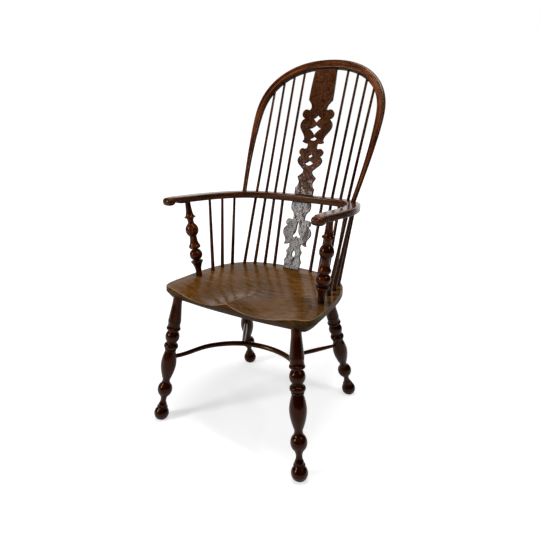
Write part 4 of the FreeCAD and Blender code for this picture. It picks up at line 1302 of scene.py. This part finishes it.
@dataclass
class SaddledSeat:
    """Plank seat, bevelled below and hollowed above, in millimetres."""

    front: float = -31.0
    back: float = 374.0
    half_width: float = 248.0
    corner: tuple[float, float] = (238.0, -9.0)
    edge: float = 17.0
    bevel: float = 18.0
    saddle_depth: float = 20.0
    saddle_half_width: float = 218.0
    saddle_back: float = 318.0
    pommel_length: float = 190.0
    edge_round: float = 2.0
    edge_wear: float = 0.55
    middle: tuple[float, float] = (0.0, 165.0)
    heart: Color = (0.07, -0.47, 0.0)
    samples: int = 420
    rings: int = 72

    def outline(self) -> Array:
        """Plan of the plank's full width.

        Returns:
            The closed plan, from the middle of its front.
        """
        wide, back = self.half_width, self.back
        half = [(110, self.front + 3), (200, self.front + 11), self.corner, (wide - 1, self.corner[1] + 23),
                (wide, 70), (wide - 3, 140), (wide - 12, 210), (wide - 34, 280),
                (171, back - 42), (102, back - 11)]
        mirrored = [(-x, y) for x, y in half]
        return spline([(0.0, self.front), *half, (0.0, back), *mirrored[::-1]], self.samples, closed=True)

    def drop(self, x: Array, y: Array) -> Array:
        """How far the top is hollowed out below its rim.

        Args:
            x: Distances from the mid-plane.
            y: Distances back.

        Returns:
            The depths.
        """
        across = np.minimum(1.0, np.abs(x) / self.saddle_half_width)
        back = np.clip(y / self.saddle_back, 0.0, 1.0)
        scoops = np.maximum(0.0, np.sin(math.pi * across ** 0.8)) ** 1.3
        bowl = np.maximum(0.0, np.cos(math.pi / 2 * across)) ** 1.5
        blend = smoothstep((y - self.front) / self.pommel_length)
        fade = np.maximum(0.0, np.cos(math.pi / 2 * back)) ** 0.9
        return self.saddle_depth * fade * (scoops * (1 - blend) + 1.15 * bowl * blend)

    def _side_ring(self, height: Array, inset: float) -> Array:
        """Row at a height on the side of the plank.

        Args:
            height: Height of each point.
            inset: Distance inward from the side.

        Returns:
            The points.
        """
        outline = self.outline()
        tangent = unit(np.roll(outline, -1, axis=0) - np.roll(outline, 1, axis=0))
        inward = np.stack([-tangent[:, 1], tangent[:, 0]], axis=1)
        shoulder = SEAT_TOP - self.edge
        slant = self.bevel / (shoulder - SEAT_BOTTOM)
        depth = np.maximum(0.0, shoulder - height) * slant + inset
        return np.column_stack([outline + inward * depth[:, None], height])

    def _shrunk(self, ring: Array, share: float) -> Array:
        """Plan of a row drawn in towards the middle."""
        return np.array(self.middle) + (ring[:, :2] - self.middle) * share

    def _rings(self) -> list[Array]:
        """Closed rows of points over the whole plank.

        Returns:
            The rows from the middle of the top, over the edge, to the middle of the underside.
        """
        outline = self.outline()
        shoulder = SEAT_TOP - self.edge
        soft = self.edge_round
        edge = self._side_ring(SEAT_TOP - self.drop(outline[:, 0], outline[:, 1]), soft)
        rows = []
        for share in np.linspace(0, 1, self.rings)[1:]:
            flat = self._shrunk(edge, share)
            rows.append(np.column_stack([flat, SEAT_TOP - self.drop(flat[:, 0], flat[:, 1])]))
        rim = rows[-1][:, 2]
        for turn in np.linspace(0, math.pi / 2, 6)[1:]:
            rows.append(self._side_ring(rim - soft * (1 - math.cos(turn)), soft * (1 - math.sin(turn))))
        for height in (shoulder + 1.2, shoulder, shoulder - 1.4, shoulder - 11, SEAT_BOTTOM + 1.5):
            rows.append(self._side_ring(np.minimum(rows[-1][:, 2] - 0.05, height), 0.0))
        low = np.full(len(outline), SEAT_BOTTOM)
        rows.append(self._side_ring(low, 1.2))
        under = rows[-1]
        rows += [np.column_stack([self._shrunk(under, share), low]) for share in (0.75, 0.5, 0.25)]
        return rows

    def build(self, finish: bpy.types.Material) -> None:
        """Makes the plank as one closed mesh whose grain runs from side to side.

        Args:
            finish: Material of the seat.
        """
        rows = self._rings()
        top = (*self.middle, SEAT_TOP - float(self.drop(np.array([0.0]), np.array([self.middle[1]]))[0]))
        points = np.vstack([[top], *rows, [(*self.middle, SEAT_BOTTOM)]])
        points = points * MM - (0.0, SETBACK * MM, 0.0)
        count = self.samples
        faces: list[tuple[int, ...]] = []
        last = len(points) - 1
        for i in range(count):
            j = (i + 1) % count
            faces.append((0, 1 + i, 1 + j))
            for row in range(len(rows) - 1):
                a = 1 + row * count
                faces.append((a + i, a + count + i, a + count + j, a + j))
            a = 1 + (len(rows) - 1) * count
            faces.append((a + i, last, a + j))
        piece = mesh_piece("saddled_seat", points, faces, points[:, [1, 2, 0]] + self.heart)
        # Band round the rim: worn wood and a painted highlight on the rounded edge.
        rubbed = np.zeros(len(points))
        edge = 1 + count * (self.rings - 1)
        rubbed[edge:edge + 3 * count] = self.edge_wear
        store(piece.data, "arris", rubbed)
        piece.data.materials.append(finish)
        place_in_chair(piece, "seat", "seat")


def mesh_piece(name: str, points: Array, faces: Sequence[Sequence[int]], wood: Array) -> bpy.types.Object:
    """Smooth mesh object with outward faces and a wood attribute.

    Args:
        name: Name of the piece.
        points: Corners in metres, one a row.
        faces: Corner numbers of each face.
        wood: Place of each corner in its log.

    Returns:
        The linked object.
    """
    mesh = bpy.data.meshes.new(name)
    mesh.from_pydata(points.tolist(), [], [list(face) for face in faces])
    store(mesh, "wood", wood)
    work = bmesh.new()
    work.from_mesh(mesh)
    bmesh.ops.recalc_face_normals(work, faces=work.faces)
    work.to_mesh(mesh)
    work.free()
    mesh.polygons.foreach_set("use_smooth", [True] * len(mesh.polygons))
    mesh.set_sharp_from_angle(angle=SHARP_ANGLE)
    return linked(name, mesh)


@dataclass
class FrettedSplat:
    """Two sawn boards in line, kept from the CAD with their sharp edges eased."""

    ease: float = 0.9
    ease_angle: float = 40.0
    ease_rows: int = 3
    merge: float = 1e-6
    flatness: float = 0.4
    flat_area: float = 2e-4
    heart: tuple[float, float] = (0.2, 0.3)
    boards: tuple[str, ...] = ("lower_splat", "upper_splat")

    def _board(self, node: str, finish: bpy.types.Material) -> bpy.types.Object:
        """Copies a board, merges its corners and bevels its edges.

        Args:
            node: CAD node of the board.
            finish: Material of the board.

        Returns:
            The bevelled board.
        """
        work = bmesh.new()
        work.from_mesh(frame["nodes"][node].data)
        bmesh.ops.remove_doubles(work, verts=work.verts, dist=self.merge)
        flat = math.radians(self.flatness)
        bmesh.ops.dissolve_limit(work, angle_limit=flat, verts=work.verts, edges=work.edges)
        mesh = bpy.data.meshes.new("fretted_" + node)
        work.to_mesh(mesh)
        work.free()
        mesh.materials.clear()
        mesh.materials.append(finish)
        piece = linked(mesh.name, mesh)
        soften = piece.modifiers.new("ease", "BEVEL")
        soften.width = self.ease * MM
        soften.segments = self.ease_rows
        soften.limit_method = "ANGLE"
        soften.angle_limit = math.radians(self.ease_angle)
        soften.use_clamp_overlap = True
        keep_as_mesh(piece)
        return piece

    def build(self, finish: bpy.types.Material) -> None:
        """Makes both boards, with flat faces left flat and the grain up the board.

        Args:
            finish: Material of the boards.
        """
        for number, node in enumerate(self.boards):
            piece = self._board(node, finish)
            mesh = piece.data
            mesh.polygons.foreach_set("use_smooth", [face.area < self.flat_area for face in mesh.polygons])
            places = np.empty(3 * len(mesh.vertices), np.float32)
            mesh.vertices.foreach_get("co", places)
            log_place = (self.heart[0], self.heart[1] + number, 0.0)
            store(mesh, "wood", places.reshape(-1, 3) + log_place)
            place_in_chair(piece, "splats", node)


@dataclass(frozen=True)
class Softbox:
    """Rectangular lamp that faces the chair, in metres and watts."""

    name: str
    place: tuple[float, float, float]
    size: tuple[float, float]
    power: float
    aim: tuple[float, float, float] = (0.0, 0.0, 0.55)

    def build(self) -> None:
        """Adds the lamp."""
        data = bpy.data.lights.new(self.name, "AREA")
        data.shape = "RECTANGLE"
        data.size, data.size_y = self.size
        data.energy = self.power
        lamp = linked(self.name, data)
        lamp.location = self.place
        lamp.rotation_euler = (Vector(self.place) - Vector(self.aim)).to_track_quat("Z", "Y").to_euler()


@dataclass
class Studio:
    """White floor, dark walls out of sight, soft lamps and the camera, in metres and degrees."""

    lamps: tuple[Softbox, ...] = (
        Softbox("window", (-1.5, -2.4, 1.35), (0.7, 0.95), 42.0),
        Softbox("top", (0.1, -0.3, 2.9), (1.1, 0.6), 45.0),
        Softbox("side", (-2.6, -0.4, 1.5), (0.3, 0.8), 5.0),
        Softbox("fill", (1.9, -0.3, 2.4), (0.35, 0.9), 17.0),
        Softbox("glint", (-1.67, -2.4, 1.9), (0.35, 0.25), 9.0, (0.0, 0.15, 0.75)),
    )
    azimuth: float = 30.583
    elevation: float = 14.029
    roll: float = 0.991
    place: tuple[float, float, float] = (0.6927, -1.23263, 0.91349)
    sensor: float = 36.0
    lens: float = 30.431
    shift_y: float = -0.05558
    surroundings: float = 0.25
    room: float = 3.3
    opening: float = 0.5
    wall_grey: float = 0.03
    floor_size: float = 40.0
    floor_grey: float = 0.8
    floor_glow: tuple[float, float] = (0.57, 1.0)
    glow_reach: tuple[float, float] = (0.7, 2.2)

    def build(self) -> None:
        """Sets the world, the floor, the walls, the lamps and the camera."""
        bpy.context.scene.view_settings.view_transform = "Standard"
        self._world()
        self._floor()
        self._walls()
        for lamp in self.lamps:
            lamp.build()
        self._camera()

    def _seen(self, graph: Graph) -> Socket:
        """1 for rays from the camera, a reflection or through glass, else 0.

        Args:
            graph: Tree that asks.

        Returns:
            Socket of the answer.
        """
        path = graph.add("ShaderNodeLightPath").outputs
        seen = graph.math("MAXIMUM", path["Is Camera Ray"], path["Is Glossy Ray"])
        return graph.math("MAXIMUM", seen, path["Is Transmission Ray"])

    def _world(self) -> None:
        """Makes the world white where it is seen, and a plain level of light elsewhere."""
        world = bpy.data.worlds.new("studio")
        world.use_nodes = True
        graph = Graph(world.node_tree)
        strength = graph.math("MULTIPLY_ADD", self._seen(graph), 1.0 - self.surroundings, self.surroundings)
        light = graph.add("ShaderNodeBackground", {"Color": (1.0, 1.0, 1.0, 1.0), "Strength": strength})
        graph.add("ShaderNodeOutputWorld", {"Surface": light.outputs[0]})
        bpy.context.scene.world = world

    def _glow(self, graph: Graph) -> Socket:
        """Light that the floor shows without casting it, fuller away from the chair.

        Args:
            graph: Tree of the floor's material.

        Returns:
            Socket of the shader.
        """
        place = graph.add("ShaderNodeTexCoord").outputs["Object"]
        reach = graph.add("ShaderNodeVectorMath", {0: place}, operation="LENGTH").outputs["Value"]
        span = dict(enumerate((*self.glow_reach, *self.floor_glow), start=1))
        distant = graph.add("ShaderNodeMapRange", {"Value": reach, **span}, interpolation_type="SMOOTHSTEP")
        strength = graph.math("MULTIPLY", self._seen(graph), distant.outputs[0])
        glow = graph.add("ShaderNodeEmission", {"Color": (1.0, 1.0, 1.0, 1.0), "Strength": strength})
        return glow.outputs[0]

    def _matt(self, name: str, grey: float, glows: bool = False) -> bpy.types.Material:
        """Makes a matt paint.

        Args:
            name: Name of the material.
            grey: Level of its colour.
            glows: Whether it takes the floor's glow.

        Returns:
            The material.
        """
        made, graph = new_material(name)
        surface = graph.add("ShaderNodeBsdfDiffuse", {"Color": (grey, grey, grey, 1.0)}).outputs[0]
        if glows:
            surface = graph.add("ShaderNodeAddShader", {0: surface, 1: self._glow(graph)}).outputs[0]
        graph.add("ShaderNodeOutputMaterial", {"Surface": surface})
        return made

    def _floor(self) -> None:
        """Lays the wide white floor that keeps the chair's shadow."""
        size = self.floor_size
        corners = [(-size, -size, 0), (size, -size, 0), (size, size, 0), (-size, size, 0)]
        mesh = bpy.data.meshes.new("floor")
        mesh.from_pydata(corners, [], [(0, 1, 2, 3)])
        mesh.materials.append(self._matt("floor_paint", self.floor_grey, glows=True))
        floor = linked("floor", mesh)

    def _walls(self) -> None:
        """Adds dark walls and a ceiling, open at the left of the back and out of the camera's sight."""
        r, rear = self.room, self.room / 2
        plan = [(-r, rear), (-r, -r), (r, -r), (r, rear), (self.opening, rear)]
        corners = [(x, y, z) for z in (0, r) for x, y in plan]
        sides = [(i, i + 1, i + 6, i + 5) for i in range(4)]
        mesh = bpy.data.meshes.new("walls")
        mesh.from_pydata(corners, [], [*sides, (5, 6, 7, 8)])
        mesh.materials.append(self._matt("wall_paint", self.wall_grey))
        walls = linked("walls", mesh)
        walls.visible_camera = False

    def _camera(self) -> None:
        """Sets the camera at the photograph's viewing angle."""
        around, up, roll = (math.radians(angle) for angle in (self.azimuth, self.elevation, self.roll))
        back = Vector((math.sin(around) * math.cos(up), -math.cos(around) * math.cos(up), math.sin(up)))
        level = Vector((math.cos(around), math.sin(around), 0.0))
        upright = back.cross(level)
        right = math.cos(roll) * level + math.sin(roll) * upright
        top = math.cos(roll) * upright - math.sin(roll) * level
        data = bpy.data.cameras.new("camera")
        data.sensor_width = self.sensor
        data.lens = self.lens
        data.shift_y = self.shift_y
        camera = linked("camera", data)
        turned = Matrix((right, top, back)).transposed().to_4x4()
        camera.matrix_world = Matrix.Translation(self.place) @ turned
        bpy.context.scene.camera = camera


def main() -> None:
    """Builds every sub-assembly in order, then the studio."""
    logging.basicConfig(level=logging.INFO, format="%(name)s: %(message)s")
    skin = Skin()
    legs = TurnedLegs()
    seat = SaddledSeat()
    bow = ArmBow()
    hoop = BackHoop(bow)
    turned = TURNED.material()
    posts = POSTS.material()
    bent = BENT.material()
    legs.build(skin, turned)
    Stretcher(legs).build(skin, posts)
    seat.build(PLANK.material())
    bow.build(skin, bent)
    hoop.build(skin, bent)
    ArmPosts(seat, bow).build(skin, posts)
    Spindles(bow, hoop).build(skin, STICKS.material())
    FrettedSplat().build(SAWN.material())
    Studio().build()


if __name__ == "__main__":
    main()
